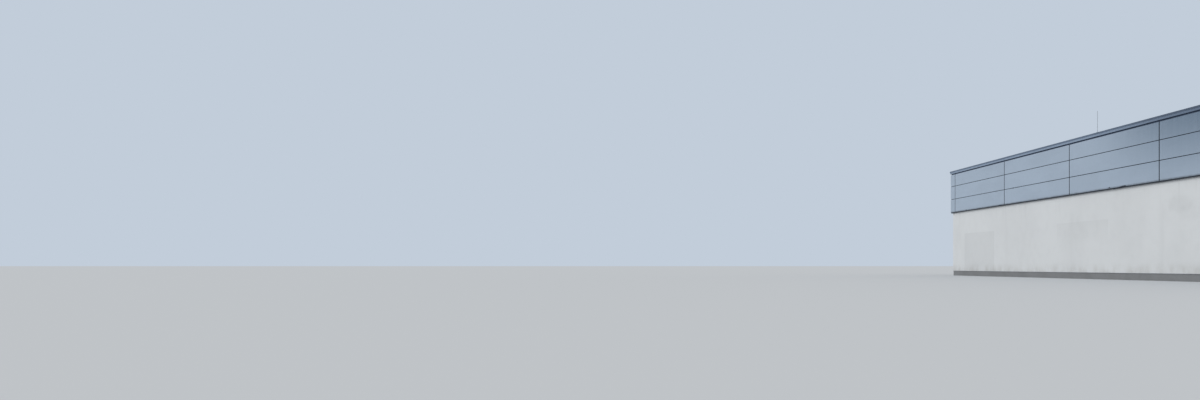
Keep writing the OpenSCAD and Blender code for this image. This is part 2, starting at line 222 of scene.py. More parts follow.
@dataclass(frozen=True)
class Relief:
    """A noise that stands out: lumps to the metre, finer layers, height, strength, stretch."""

    scale: float
    detail: float
    height: float
    strength: float
    stretch: tuple[float, float, float] = (1, 1, 1)


class Graph:
    """A material's node tree, with short calls for the nodes that the finishes share."""

    def __init__(self, name: str) -> None:
        """Starts a material with one principled shader.

        Args:
            name: Name of the material.
        """
        self.material = bpy.data.materials.new(name)
        self.material.use_nodes = True
        self.tree = self.material.node_tree
        self.tree.nodes.clear()
        output = self.tree.nodes.new("ShaderNodeOutputMaterial")
        self.shader = self.tree.nodes.new("ShaderNodeBsdfPrincipled")
        self.link(self.shader.outputs["BSDF"], output.inputs["Surface"])
        self.place = self.tree.nodes.new("ShaderNodeTexCoord").outputs["Object"]
        split = self.tree.nodes.new("ShaderNodeSeparateXYZ")
        self.link(self.place, split.inputs["Vector"])
        self.x, self.y, self.z = split.outputs

    def link(self, start: bpy.types.NodeSocket, end: bpy.types.NodeSocket) -> None:
        """Joins an output to an input."""
        self.tree.links.new(start, end)

    def put(self, socket: bpy.types.NodeSocket, value: object) -> None:
        """Sets an input to a value, or joins it to another node's output.

        Args:
            socket: The input.
            value: A number, a colour or an output.
        """
        if isinstance(value, bpy.types.NodeSocket):
            self.link(value, socket)
        else:
            socket.default_value = value

    def math(self, operation: str, first: object, second: object = 0.0) -> bpy.types.NodeSocket:
        """Adds one arithmetic node.

        Args:
            operation: Blender's name for it, such as MULTIPLY.
            first: A number or an output.
            second: A number or an output.

        Returns:
            The node's output.
        """
        node = self.tree.nodes.new("ShaderNodeMath")
        node.operation = operation
        self.put(node.inputs[0], first)
        self.put(node.inputs[1], second)
        return node.outputs[0]

    def both(self, *shares: object) -> bpy.types.NodeSocket:
        """Multiplies shares, so that the result is high only where all of them are.

        Args:
            *shares: Numbers or outputs.

        Returns:
            Their product.
        """
        result = shares[0]
        for share in shares[1:]:
            result = self.math("MULTIPLY", result, share)
        return result

    def rise(self, value: object, start: float, end: float, low: float = 0.0,
             high: float = 1.0) -> bpy.types.NodeSocket:
        """Maps a value from one range to another on a smooth step, held at both ends.

        Args:
            value: The output that is mapped.
            start: Where the step begins.
            end: Where it ends.
            low: Result before the step.
            high: Result after it.

        Returns:
            The mapped output.
        """
        node = self.tree.nodes.new("ShaderNodeMapRange")
        node.interpolation_type = "SMOOTHSTEP"
        for socket, item in zip(node.inputs, (value, start, end, low, high)):
            self.put(socket, item)
        return node.outputs[0]

    def ramp(self, value: object, start: float, end: float) -> bpy.types.NodeSocket:
        """Maps a value evenly from 0 to 1, held at both ends.

        Args:
            value: The output that is mapped.
            start: Where the result is 0.
            end: Where it is 1.

        Returns:
            The mapped output.
        """
        node = self.tree.nodes.new("ShaderNodeMapRange")
        for socket, item in zip(node.inputs, (value, start, end)):
            self.put(socket, item)
        return node.outputs[0]

    def stripe(self, value: object, middle: float, width: float) -> bpy.types.NodeSocket:
        """A soft-edged stripe round one value, a third of its width in each edge."""
        away = self.math("ABSOLUTE", self.math("SUBTRACT", value, middle))
        return self.rise(away, width / 2, width * STRIPE_CORE)

    def noise(self, scale: float, detail: float,
              stretch: tuple[float, float, float]) -> bpy.types.NodeSocket:
        """Adds cloudy noise that is fixed to the piece.

        Args:
            scale: Lumps to the metre.
            detail: Layers of finer lumps.
            stretch: Scale of the place along each axis.

        Returns:
            The noise, from 0 to 1.
        """
        mapping = self.tree.nodes.new("ShaderNodeMapping")
        mapping.inputs["Scale"].default_value = stretch
        self.link(self.place, mapping.inputs["Vector"])
        node = self.tree.nodes.new("ShaderNodeTexNoise")
        node.inputs["Scale"].default_value = scale
        node.inputs["Detail"].default_value = detail
        self.link(mapping.outputs[0], node.inputs["Vector"])
        return node.outputs["Fac"]

    def clouds(self, clouds: Clouds) -> bpy.types.NodeSocket:
        """Adds a cloudy pattern and gives its share."""
        noise = self.noise(clouds.scale, clouds.detail, clouds.stretch)
        return self.rise(noise, clouds.start, clouds.end, clouds.low, clouds.high)

    def soil(self, colour: object, clouds: Clouds) -> bpy.types.NodeSocket:
        """Darkens a colour by a cloudy pattern, as deep as the pattern says."""
        return self.shade(colour, self.clouds(clouds), clouds.depth)

    def lots(self, value: object, pitch: float) -> bpy.types.NodeSocket:
        """Draws lots for each stretch along a value.

        Args:
            value: The output that is divided into stretches.
            pitch: Length of a stretch.

        Returns:
            One number from 0 to 1 for each stretch.
        """
        node = self.tree.nodes.new("ShaderNodeTexWhiteNoise")
        node.noise_dimensions = "1D"
        self.put(node.inputs["W"], self.math("FLOOR", self.math("DIVIDE", value, pitch)))
        return node.outputs["Value"]

    def mix(self, share: object, first: object, second: object,
            blend: str = "MIX") -> bpy.types.NodeSocket:
        """Blends two colours.

        Args:
            share: How much of the second is laid on the first, from 0 to 1.
            first: A colour or an output.
            second: A colour or an output.
            blend: Blender's name for the way of blending.

        Returns:
            The blended colour.
        """
        node = self.tree.nodes.new("ShaderNodeMix")
        node.data_type = "RGBA"
        node.blend_type = blend
        self.put(node.inputs[MIX_SHARE], share)
        self.put(node.inputs[MIX_FIRST], first)
        self.put(node.inputs[MIX_SECOND], second)
        return node.outputs[MIX_RESULT]

    def shade(self, colour: object, share: object, amount: float) -> bpy.types.NodeSocket:
        """Darkens a colour where a share is high.

        Args:
            colour: The colour to darken.
            share: Where to darken it, from 0 to 1.
            amount: How much is taken away where the share is 1.

        Returns:
            The darkened colour.
        """
        left = 1 - amount
        return self.mix(share, colour, (left, left, left, 1.0), "MULTIPLY")

    def bump(self, height: bpy.types.NodeSocket, distance: float, strength: float,
             under: bpy.types.NodeSocket | None = None) -> bpy.types.NodeSocket:
        """Adds a bump.

        Args:
            height: The height pattern, from 0 to 1.
            distance: Height of the pattern in metres.
            strength: How strongly it shows.
            under: Another bump that it lies on.

        Returns:
            The bent normal.
        """
        node = self.tree.nodes.new("ShaderNodeBump")
        node.inputs["Distance"].default_value = distance
        node.inputs["Strength"].default_value = strength
        self.link(height, node.inputs["Height"])
        if under is not None:
            self.link(under, node.inputs["Normal"])
        return node.outputs[0]

    def relief(self, relief: Relief,
               under: bpy.types.NodeSocket | None = None) -> bpy.types.NodeSocket:
        """Adds a relief, on another if one is given, and gives the bent normal."""
        noise = self.noise(relief.scale, relief.detail, relief.stretch)
        return self.bump(noise, relief.height, relief.strength, under)

    def finish(self, colour: object, roughness: object, normal: object = None,
               **sockets: object) -> bpy.types.Material:
        """Sets the shader.

        Args:
            colour: Base colour.
            roughness: Roughness.
            normal: Bent normal, if any.
            **sockets: Other sockets of the shader, with _ for a space.

        Returns:
            The material.
        """
        self.put(self.shader.inputs["Base Color"], colour)
        self.put(self.shader.inputs["Roughness"], roughness)
        if normal is not None:
            self.link(normal, self.shader.inputs["Normal"])
        for name, value in sockets.items():
            self.put(self.shader.inputs[name.replace("_", " ")], value)
        return self.material


@dataclass(frozen=True)
class Patch:
    """A part of the front that was painted over: its ends along X, its top, depth and fading.

    It fades out downwards over the height `fade`, or not at all where that is 0.
    """

    start: float
    end: float
    top: float
    depth: float
    fade: float = 0.0


@dataclass(frozen=True)
class Stain:
    """A dull cloud on the front: its middle, its reach along X and upwards, and its depth."""

    x: float
    z: float
    reach_x: float
    reach_z: float
    depth: float


@dataclass(frozen=True)
class WhiteRender:
    """Pale paint on fine render: patches painted over, a stain, water runs, splashed dirt."""

    paint: Paint = (213, 216, 218)
    dirt: Paint = (160, 158, 150)
    broad: Clouds = Clouds(0.35, 4, 0.42, 0.62, 0.035)
    fine: Clouds = Clouds(2.3, 5, 0.45, 0.7, 0.02)
    outer_x: float = 18.4
    outer_y: float = 12.4
    patches: tuple[Patch, ...] = (
        Patch(-16.95, -13.3, 2.55, 0.06), Patch(-7.2, -3.3, 2.62, 0.05, 1.2),
    )
    patch_edge: float = 0.02
    lap_line: float = 0.03
    stains: tuple[Stain, ...] = (
        Stain(1.0, 3.0, 0.85, 0.42, 0.06), Stain(1.5, 2.6, 0.7, 0.45, 0.03),
    )
    stain_core: float = 0.1
    stain_edge: Clouds = Clouds(2.5, 4, 0.3, 0.7, low=-0.3, high=0.3)
    joint_pitch: float = 6.0
    run_w: float = 0.6
    run_top: float = 3.5
    run_fade: float = 1.0
    run_depth: float = 0.022
    run_breaks: Clouds = Clouds(1.5, 4, 0.3, 0.7, low=0.6, stretch=(4, 4, 0.5))
    streak_top: float = 3.9
    streak_length: float = 1.4
    streaks: Clouds = Clouds(1.0, 3, 0.55, 0.78, 0.09, stretch=(7.0, 7.0, 0.12))
    splash_top: float = 0.8
    plinth_top: float = 0.3
    splashes: Clouds = Clouds(2.2, 6, 0.3, 0.75, 0.4, stretch=(1, 1, 0.6))
    roughness: float = 0.88
    reflection: float = 0.3
    grain: Relief = Relief(380, 2, 0.0012, 0.6)
    wave: Relief = Relief(0.9, 2, 0.004, 0.3)

    def material(self) -> bpy.types.Material:
        """Builds the material.

        Returns:
            The material.
        """
        g = Graph("white_render")
        colour = g.soil(g.soil(tone(*self.paint), self.broad), self.fine)
        for patch in self.patches:
            colour = self.paint_over(g, colour, patch)
        for stain in self.stains:
            colour = self.cloud(g, colour, stain)
        colour = self.joint_runs(g, colour)
        reach = g.rise(g.z, self.streak_top - self.streak_length, self.streak_top)
        colour = g.shade(colour, g.both(g.clouds(self.streaks), reach), self.streaks.depth)
        splash = g.both(g.rise(g.z, self.splash_top, self.plinth_top), g.clouds(self.splashes),
                        self.splashes.depth)
        colour = g.mix(splash, colour, tone(*self.dirt))
        normal = g.relief(self.wave, g.relief(self.grain))
        return g.finish(colour, self.roughness, normal, Specular_IOR_Level=self.reflection)

    def front(self, g: Graph) -> bpy.types.NodeSocket:
        """1 on the front wall's face and 0 on the other walls."""
        return g.rise(g.y, -self.outer_y, -self.outer_y - self.patch_edge)

    def paint_over(self, g: Graph, colour: object, patch: Patch) -> bpy.types.NodeSocket:
        """Lays one patch on the front, with the roller's lap line along its top.

        Args:
            g: The material's graph.
            colour: The colour under the patch.
            patch: The patch.

        Returns:
            The colour with the patch on it.
        """
        along = g.both(self.front(g), g.rise(g.x, patch.start, patch.start + self.patch_edge),
                       g.rise(g.x, patch.end, patch.end - self.patch_edge))
        inside = g.both(along, g.rise(g.z, patch.top, patch.top - self.patch_edge))
        if patch.fade:
            inside = g.both(inside, g.ramp(g.z, patch.top - patch.fade, patch.top))
        line = g.both(along, g.stripe(g.z, patch.top, self.lap_line))
        return g.shade(g.shade(colour, inside, patch.depth), line, patch.depth / 2)

    def cloud(self, g: Graph, colour: object, stain: Stain) -> bpy.types.NodeSocket:
        """Lays one stain on the front, ragged at its edge.

        Args:
            g: The material's graph.
            colour: The colour under the stain.
            stain: The stain.

        Returns:
            The colour with the stain on it.
        """
        across = g.math("DIVIDE", g.math("SUBTRACT", g.x, stain.x), stain.reach_x)
        up = g.math("DIVIDE", g.math("SUBTRACT", g.z, stain.z), stain.reach_z)
        away = g.math("ADD", g.both(across, across), g.both(up, up))
        ragged = g.math("ADD", away, g.clouds(self.stain_edge))
        inside = g.rise(ragged, 1.0, self.stain_core)
        return g.shade(colour, g.both(self.front(g), inside), stain.depth)

    def joint_runs(self, g: Graph, colour: object) -> bpy.types.NodeSocket:
        """Draws faint water runs under the panels' upright joints, the front's middle one twice.

        Args:
            g: The material's graph.
            colour: The colour under the runs.

        Returns:
            The colour with the runs on it.
        """
        half = self.joint_pitch / 2
        long_sides, ends = (
            g.both(g.rise(g.math("ABSOLUTE", across), limit, limit + self.patch_edge),
                   g.rise(g.math("PINGPONG", along, half), self.run_w / 2, 0.0))
            for across, limit, along in ((g.y, self.outer_y, g.x), (g.x, self.outer_x, g.y))
        )
        run = g.both(g.math("MAXIMUM", long_sides, ends),
                     g.rise(g.z, self.run_top, self.run_top - self.run_fade),
                     g.rise(g.z, self.plinth_top, self.splash_top), g.clouds(self.run_breaks))
        middle = g.both(run, self.front(g), g.rise(g.math("ABSOLUTE", g.x), half, self.run_w))
        return g.shade(g.shade(colour, run, self.run_depth), middle, self.run_depth)


@dataclass(frozen=True)
class Coated:
    """A satin coat on sheet or profile, with faint clouding, specks and dents."""

    name: str
    paint: Paint
    gloss: float = 0.42
    clouding: float = 0.05
    broad: Clouds = Clouds(0.45, 3, 0.4, 0.65, stretch=(1, 1, 2.5))
    specks: Clouds = Clouds(9.0, 6, 0.5, 0.8, 0.6)
    smears: Clouds = Clouds(6.0, 4, 0.3, 0.7, low=-0.05, high=0.08)
    dents: Relief = Relief(1.7, 2, 0.0012, 0.6, (0.5, 0.5, 1.0))

    def material(self) -> bpy.types.Material:
        """Builds the material."""
        g = Graph(self.name)
        return self.coat(g, self.age(g, tone(*self.paint)))

    def age(self, g: Graph, colour: object) -> bpy.types.NodeSocket:
        """Clouds a coat in two sizes."""
        colour = g.shade(colour, g.clouds(self.broad), self.clouding)
        return g.shade(colour, g.clouds(self.specks), self.clouding * self.specks.depth)

    def coat(self, g: Graph, colour: object) -> bpy.types.Material:
        """Sets the gloss and the dents of the sheet."""
        rough = g.clouds(self.smears.around(self.gloss))
        return g.finish(colour, rough, g.relief(self.dents))


@dataclass(frozen=True)
class WeatherFilm:
    """Where a dark reflection is painted on the front: it comes in along X and fades again."""

    paint: Paint
    front_y: float = -12.4
    front_edge: float = 0.1
    depth: float = 0.97
    rise: tuple[float, float] = (-5.6, 2.4)
    fall: tuple[float, float] = (8.0, 18.0)

    def share(self, g: Graph) -> bpy.types.NodeSocket:
        """Finds how strongly the painted dark reflection lies.

        Args:
            g: The material's graph.

        Returns:
            A share from 0 to the painted reflection's depth.
        """
        near = g.both(g.rise(g.x, *self.rise), g.rise(g.x, *reversed(self.fall)))
        front = g.rise(g.y, self.front_y, self.front_y - self.front_edge, 0.0, self.depth)
        return g.both(near, front)


@dataclass(frozen=True)
class PanelCoat(Coated):
    """The wall panels' coat, darkened towards the coping by a painted dark reflection.

    It lies thickest on the front, near the middle of the building, and in faint clouds elsewhere.
    """

    # The painted dark reflection: its colour and where it lies.
    film: WeatherFilm = WeatherFilm((97, 116, 136))
    film_foot: float = 3.6
    film_head: float = 6.25
    film_runs: Clouds = Clouds(1.3, 4, 0.2, 0.8, low=0.88, stretch=(5.0, 5.0, 0.3))
    thin_film: Clouds = Clouds(0.25, 3, 0.45, 0.7, 0.3)
    row_pitch: float = 0.8
    row_base: float = 3.925
    row_tones: float = 0.02
    foot_h: float = 0.25
    foot_dirt: Clouds = Clouds(2.0, 5, 0.4, 0.7, 0.06)
    edge_h: float = 0.07
    edge_core: float = 0.3
    edge_dirt: Clouds = Clouds(1.4, 4, 0.25, 0.6, 0.45, low=0.5, stretch=(3.0, 3.0, 1.0))

    def material(self) -> bpy.types.Material:
        """Builds the material.

        Returns:
            The material.
        """
        g = Graph(self.name)
        colour = self.age(g, tone(*self.paint))
        rows = g.lots(g.math("SUBTRACT", g.z, self.row_base), self.row_pitch)
        colour = g.shade(colour, rows, self.row_tones)
        # Painted dark reflection: darker towards the coping, most on the front's middle, in faint
        # clouds elsewhere.
        height = g.ramp(g.z, self.film_foot, self.film_head)
        elsewhere = g.both(g.clouds(self.thin_film), self.thin_film.depth,
                           g.rise(g.x, self.film.rise[0], self.film.fall[0]))
        share = g.math("MAXIMUM", self.film.share(g), elsewhere)
        film = g.both(height, g.clouds(self.film_runs), share)
        colour = g.mix(film, colour, tone(*self.film.paint))
        foot = g.both(g.rise(g.z, self.row_base + self.foot_h, self.row_base),
                      g.clouds(self.foot_dirt))
        colour = g.shade(colour, foot, self.foot_dirt.depth)
        # Darker along the panels' lowest edge, in clouds.
        edge = g.both(g.rise(g.z, self.row_base + self.edge_h,
                             self.row_base + self.edge_core * self.edge_h),
                      g.clouds(self.edge_dirt))
        return self.coat(g, g.shade(colour, edge, self.edge_dirt.depth))


@dataclass(frozen=True)
class CopingCoat(Coated):
    """The copings' coat: darker over the fold, and with a painted dark reflection."""

    dents: Relief = Relief(1.7, 2, 0.002, 0.6, (0.5, 0.5, 1.0))
    upper: Paint = (88, 104, 126)
    # Painted dark reflection over the front half, lighter towards the far end.
    film: WeatherFilm = WeatherFilm((93, 109, 131), front_y=0.0)
    upper_film: Paint = (70, 84, 104)
    fold: float = 6.4
    fold_edge: float = 0.004
    dust: Clouds = Clouds(1.2, 5, 0.45, 0.7, 0.08, stretch=(1, 1, 4))

    def material(self) -> bpy.types.Material:
        """Builds the material.

        Returns:
            The material.
        """
        g = Graph(self.name)
        # Darker from the fold up.
        over = g.rise(g.z, self.fold - self.fold_edge, self.fold + self.fold_edge)
        # Painted dark reflection on both folds.
        reflection_share = self.film.share(g)
        lower = g.mix(reflection_share, tone(*self.paint), tone(*self.film.paint))
        upper = g.mix(reflection_share, tone(*self.upper), tone(*self.upper_film))
        colour = g.soil(g.mix(over, lower, upper), self.dust)
        return self.coat(g, self.age(g, colour))


@dataclass(frozen=True)
class TrimCoat(Coated):
    """The band's trims: nearly black low down, with painted bluish light under the coping."""

    # Painted light: the trim in the shaded gap under the coping is lightened and made bluer.
    head: Paint = (48, 68, 96)
    head_level: float = 6.2
    head_edge: float = 0.01

    def material(self) -> bpy.types.Material:
        """Builds the material.

        Returns:
            The material.
        """
        g = Graph(self.name)
        high = g.rise(g.z, self.head_level - self.head_edge, self.head_level)
        colour = g.mix(high, tone(*self.paint), tone(*self.head))
        return self.coat(g, self.age(g, colour))


@dataclass(frozen=True)
class Mineral:
    """Concrete or coarse render, with clouds, pits and grain."""

    name: str
    paint: Paint
    broad: Clouds = Clouds(0.8, 6, 0.38, 0.7, 0.12)
    pits: Clouds = Clouds(28, 4, 0.5, 0.75, 0.12)
    grain: Relief = Relief(160, 3, 0.0015, 0.8)
    roughness: float = 0.85

    def material(self) -> bpy.types.Material:
        """Builds the material.

        Returns:
            The material.
        """
        g = Graph(self.name)
        colour = g.soil(g.soil(tone(*self.paint), self.broad), self.pits)
        return g.finish(colour, self.roughness, g.relief(self.grain))


@dataclass(frozen=True)
class RoofMembrane:
    """Light grey roofing membrane: each roll's own tone, dried puddles along the eaves, dirt."""

    name: str
    paint: Paint = (170, 173, 175)
    puddle: Paint = (128, 126, 119)
    roll: float = 1.525
    roll_tones: float = 0.06
    broad: Clouds = Clouds(0.22, 5, 0.4, 0.65, 0.12)
    fine: Clouds = Clouds(1.6, 6, 0.5, 0.8, 0.1)
    eaves: tuple[float, float] = (9.6, 12.1)
    puddles: Clouds = Clouds(0.35, 3, 0.46, 0.56, 0.5, stretch=(1, 1.6, 1))
    smears: Clouds = Clouds(0.6, 3, 0.3, 0.7, low=0.55, high=0.8)
    waves: Relief = Relief(3.0, 3, 0.006, 0.4)

    def material(self) -> bpy.types.Material:
        """Builds the material.

        Returns:
            The material.
        """
        g = Graph(self.name)
        colour = g.shade(tone(*self.paint), g.lots(g.x, self.roll), self.roll_tones)
        colour = g.soil(g.soil(colour, self.broad), self.fine)
        outward = g.rise(g.math("ABSOLUTE", g.y), *self.eaves)
        puddle = g.both(outward, g.clouds(self.puddles), self.puddles.depth)
        colour = g.mix(puddle, colour, tone(*self.puddle))
        return g.finish(colour, g.clouds(self.smears), g.relief(self.waves))


@dataclass(frozen=True)
class Spangled:
    """Zinc-coated sheet with its spangle."""

    name: str
    dark: Paint = (158, 163, 167)
    pale: Paint = (186, 190, 193)
    cells: float = 60.0
    rough: tuple[float, float] = (0.32, 0.5)
    metallic: float = 0.85

    def material(self) -> bpy.types.Material:
        """Builds the material.

        Returns:
            The material.
        """
        g = Graph(self.name)
        cells = g.tree.nodes.new("ShaderNodeTexVoronoi")
        cells.inputs["Scale"].default_value = self.cells
        g.link(g.place, cells.inputs["Vector"])
        spangle = g.rise(cells.outputs["Color"], 0.0, 1.0)
        colour = g.mix(spangle, tone(*self.dark), tone(*self.pale))
        return g.finish(colour, g.rise(spangle, 0.0, 1.0, *self.rough), Metallic=self.metallic)


@dataclass(frozen=True)
class BrushedMetal:
    """Bare metal with a fine grain along the piece and a few dull fingermarks."""

    name: str
    paint: Paint = (188, 190, 192)
    marks: Clouds = Clouds(7, 4, 0.45, 0.75, 0.12)
    grain: Relief = Relief(40, 3, 0.0002, 0.5, (0.2, 0.2, 30))
    grain_span: tuple[float, float] = (0.3, 0.7)
    rough: tuple[float, float] = (0.25, 0.42)
    metallic: float = 0.9

    def material(self) -> bpy.types.Material:
        """Builds the material.

        Returns:
            The material.
        """
        g = Graph(self.name)
        grain = g.noise(self.grain.scale, self.grain.detail, self.grain.stretch)
        normal = g.bump(grain, self.grain.height, self.grain.strength)
        rough = g.rise(grain, *self.grain_span, *self.rough)
        colour = g.soil(tone(*self.paint), self.marks)
        return g.finish(colour, rough, normal, Metallic=self.metallic)


@dataclass(frozen=True)
class ClearGlass:
    """Glass with a slight tint and a film of dust low down."""

    name: str
    tint: Paint = (205, 224, 226)
    clear: float = 0.92
    rough: tuple[float, float] = (0.02, 0.16)
    dust_span: tuple[float, float] = (1.2, 0.1)
    dust: Clouds = Clouds(4, 4, 0.3, 0.8)
    ior: float = 1.45

    def material(self) -> bpy.types.Material:
        """Builds the material.

        Returns:
            The material.
        """
        g = Graph(self.name)
        dust = g.both(g.rise(g.z, *self.dust_span), g.clouds(self.dust))
        return g.finish(tone(*self.tint), g.rise(dust, 0.0, 1.0, *self.rough),
                        Transmission_Weight=self.clear, IOR=self.ior)


@dataclass(frozen=True)
class SoftRubber:
    """Dull blue-black rubber of seals and gaskets, greyed in patches."""

    name: str
    paint: Paint = (25, 32, 44)
    aged: Paint = (42, 51, 63)
    patches: Clouds = Clouds(14, 4, 0.3, 0.8)
    roughness: float = 0.75
    grain: Relief = Relief(90, 2, 0.0006, 0.5)

    def material(self) -> bpy.types.Material:
        """Builds the material.

        Returns:
            The material.
        """
        g = Graph(self.name)
        colour = g.mix(g.clouds(self.patches), tone(*self.paint), tone(*self.aged))
        return g.finish(colour, self.roughness, g.relief(self.grain))


def make_finishes() -> dict[Finish, bpy.types.Material]:
    """Builds every finish of the building.

    Returns:
        The materials by finish.
    """
    makers = {
        Finish.RENDER: WhiteRender(),
        Finish.PLINTH: Mineral("plinth_render", (128, 130, 132), grain=Relief(90, 3, 0.003, 0.8)),
        Finish.PANEL: PanelCoat("panel_coat", (162, 177, 194), gloss=0.34),
        Finish.COPING: CopingCoat("coping_coat", (132, 149, 171), gloss=0.36),
        Finish.DARK_TRIM: TrimCoat("dark_trim_coat", (30, 36, 45), gloss=0.45),
        Finish.CONCRETE: Mineral("concrete", (170, 169, 164)),
        Finish.STEEL: Coated("shop_coated_steel", (140, 145, 150), gloss=0.5),
        Finish.DECK: Spangled("galvanised"),
        Finish.MEMBRANE: RoofMembrane("roof_membrane"),
        Finish.OUTLET: Coated("moulded_plastic", (60, 62, 65), gloss=0.55),
        Finish.FRAME: Coated("frame_coat", (52, 58, 67), gloss=0.36),
        Finish.GLASS: ClearGlass("clear_glass"),
        Finish.STEEL_DOOR: Coated("door_coat", (158, 172, 187), gloss=0.4),
        Finish.ROD: BrushedMetal("drawn_aluminium", (176, 179, 182)),
        Finish.RUBBER: SoftRubber("rubber_seal"),
        Finish.BRUSHED: BrushedMetal("brushed_steel"),
        Finish.FROSTED: ClearGlass("frosted_film", (236, 240, 242), 0.35, (0.5, 0.7)),
        Finish.WELD: RoofMembrane("welded_strip", (150, 153, 155)),
    }
    return {finish: maker.material() for finish, maker in makers.items()}


def dress(frame: dict, finishes: dict[Finish, bpy.types.Material]) -> None:
    """Gives every node of the frame its finish.

    Args:
        frame: The loaded frame.
        finishes: The materials by finish.
    """
    for part in frame["record"]["subparts"]:
        mesh = frame["nodes"][part["node"]].data
        mesh.materials.clear()
        mesh.materials.append(finishes[Finish(part["material_slot"])])
        LOG.info("dressed %s as %s", part["node"], part["material_slot"])


class Maker:
    """Shapes new meshes with Blender's operators, as by hand, and fits them to the building."""

    def __init__(self, finishes: dict[Finish, bpy.types.Material]) -> None:
        """Starts with nothing made."""
        self.finishes = finishes
        self.made: list[bpy.types.Object] = []

    @staticmethod
    def select(*pieces: bpy.types.Object) -> None:
        """Selects these pieces and nothing else.

        Args:
            *pieces: The pieces, of which the first becomes the active one.
        """
        bpy.ops.object.select_all(action="DESELECT")
        for piece in pieces:
            piece.select_set(True)
        if pieces:
            bpy.context.view_layer.objects.active = pieces[0]

    def settle(self, *pieces: bpy.types.Object) -> None:
        """Puts the pieces' places into their meshes."""
        self.select(*pieces)
        bpy.ops.object.transform_apply(location=True, rotation=True, scale=True)

    def edit(self, piece: bpy.types.Object) -> None:
        """Opens a piece for editing with all of it selected.

        Args:
            piece: The piece.
        """
        self.select(piece)
        bpy.ops.object.mode_set(mode="EDIT")
        bpy.ops.mesh.select_all(action="SELECT")

    @staticmethod
    def close() -> None:
        """Turns all faces outwards and leaves edit mode."""
        bpy.ops.mesh.select_all(action="SELECT")
        bpy.ops.mesh.normals_make_consistent(inside=False)
        bpy.ops.object.mode_set(mode="OBJECT")

    def draw(self, points: Iterable[Point], step: Point) -> bpy.types.Object:
        """Draws a closed outline point by point, fills it and extrudes it.

        Args:
            points: The outline's corners in order.
            step: Way and length of the extrusion.

        Returns:
            The solid.
        """
        corners = [Vector(point) for point in points]
        self.select()
        bpy.ops.mesh.primitive_plane_add(size=SEED_SIZE, location=corners[0])
        piece = bpy.context.object
        self.settle(piece)
        self.edit(piece)
        bpy.ops.mesh.merge(type="CENTER")
        for here, there in zip(corners, corners[1:] + corners[:1]):
            bpy.ops.mesh.extrude_vertices_move(TRANSFORM_OT_translate={"value": there - here})
        bpy.ops.mesh.select_all(action="SELECT")
        bpy.ops.mesh.remove_doubles(threshold=WELD_GAP)
        bpy.ops.mesh.edge_face_add()
        bpy.ops.mesh.extrude_region_move(TRANSFORM_OT_translate={"value": step})
        self.close()
        return piece

    def run(self, section: Section, start: float, end: float) -> bpy.types.Object:
        """Runs a section drawn as (depth, height) along x, from one place to another."""
        return self.draw([(start, *corner) for corner in section], (end - start, 0, 0))

    def upright(self, section: Section, low: float, high: float) -> bpy.types.Object:
        """Runs a section drawn as (along, depth) upwards, from one level to another."""
        return self.draw([(*corner, low) for corner in section], (0, 0, high - low))

    def soften(self, piece: bpy.types.Object, width: float) -> bpy.types.Object:
        """Rounds a piece's sharp edges with a bevel, which is applied.

        Args:
            piece: The piece.
            width: Width of the rounding.

        Returns:
            The same piece.
        """
        self.select(piece)
        bpy.ops.object.modifier_add(type="BEVEL")
        bevel = piece.modifiers[-1]
        bevel.width = width
        bevel.segments = 2
        bevel.limit_method = "ANGLE"
        bevel.angle_limit = SHARP_ANGLE
        bpy.ops.object.modifier_apply(modifier=bevel.name)
        return piece

    def block(self, low: Point, high: Point, bevel: float) -> bpy.types.Object:
        """A block between two corners, with its edges rounded.

        Args:
            low: Lowest corner.
            high: Highest corner.
            bevel: Width of the rounding.

        Returns:
            The block.
        """
        low, high = Vector(low), Vector(high)
        self.select()
        bpy.ops.mesh.primitive_cube_add(size=1, location=(low + high) / 2)
        piece = bpy.context.object
        piece.scale = high - low
        self.settle(piece)
        return self.soften(piece, bevel)

    def disc(self, middle: Point, radius: float, depth: float, bevel: float,
             turn: Point = UPRIGHT, sides: int = 20) -> bpy.types.Object:
        """A short round bar with its rims rounded.

        Args:
            middle: Middle of the bar.
            radius: Its radius.
            depth: Its length.
            bevel: Width of the rounding.
            turn: Turn that brings it from upright to its place.
            sides: Number of sides.

        Returns:
            The bar.
        """
        self.select()
        bpy.ops.mesh.primitive_cylinder_add(vertices=sides, radius=radius, depth=depth,
                                            location=middle, rotation=turn)
        piece = bpy.context.object
        self.settle(piece)
        return self.soften(piece, bevel)

    def ring(self, low: Point, high: Point, width: float) -> bpy.types.Object:
        """A flat frame that stands across y between two corners, inset from its outline.

        Args:
            low: Lowest corner.
            high: Highest corner.
            width: Width of the frame's face.

        Returns:
            The frame.
        """
        low, high = Vector(low), Vector(high)
        middle = (low + high) / 2
        self.select()
        bpy.ops.mesh.primitive_plane_add(size=1, location=(middle.x, low.y, middle.z),
                                         rotation=LYING)
        piece = bpy.context.object
        piece.scale = (high.x - low.x, high.z - low.z, 1)
        self.settle(piece)
        self.edit(piece)
        bpy.ops.mesh.inset(thickness=width, depth=0)
        bpy.ops.mesh.delete(type="FACE")
        bpy.ops.mesh.select_all(action="SELECT")
        bpy.ops.mesh.extrude_region_move(TRANSFORM_OT_translate={"value": (0, high.y - low.y, 0)})
        self.close()
        return piece

    def placed(self, pieces: Iterable[bpy.types.Object],
               places: Iterable[Matrix]) -> list[bpy.types.Object]:
        """Copies pieces to places, every copy with its own mesh, and uses up the pieces.

        Args:
            pieces: The pieces.
            places: Turn and move of each copy.

        Returns:
            The copies, all of one piece before those of the next.
        """
        places = list(places)
        copies = []
        for piece in pieces:
            for place in places:
                copy = piece.copy()
                copy.data = piece.data.copy()
                copy.matrix_world = place
                bpy.context.scene.collection.objects.link(copy)
                copies.append(copy)
            bpy.data.objects.remove(piece)
        self.settle(*copies)
        return copies

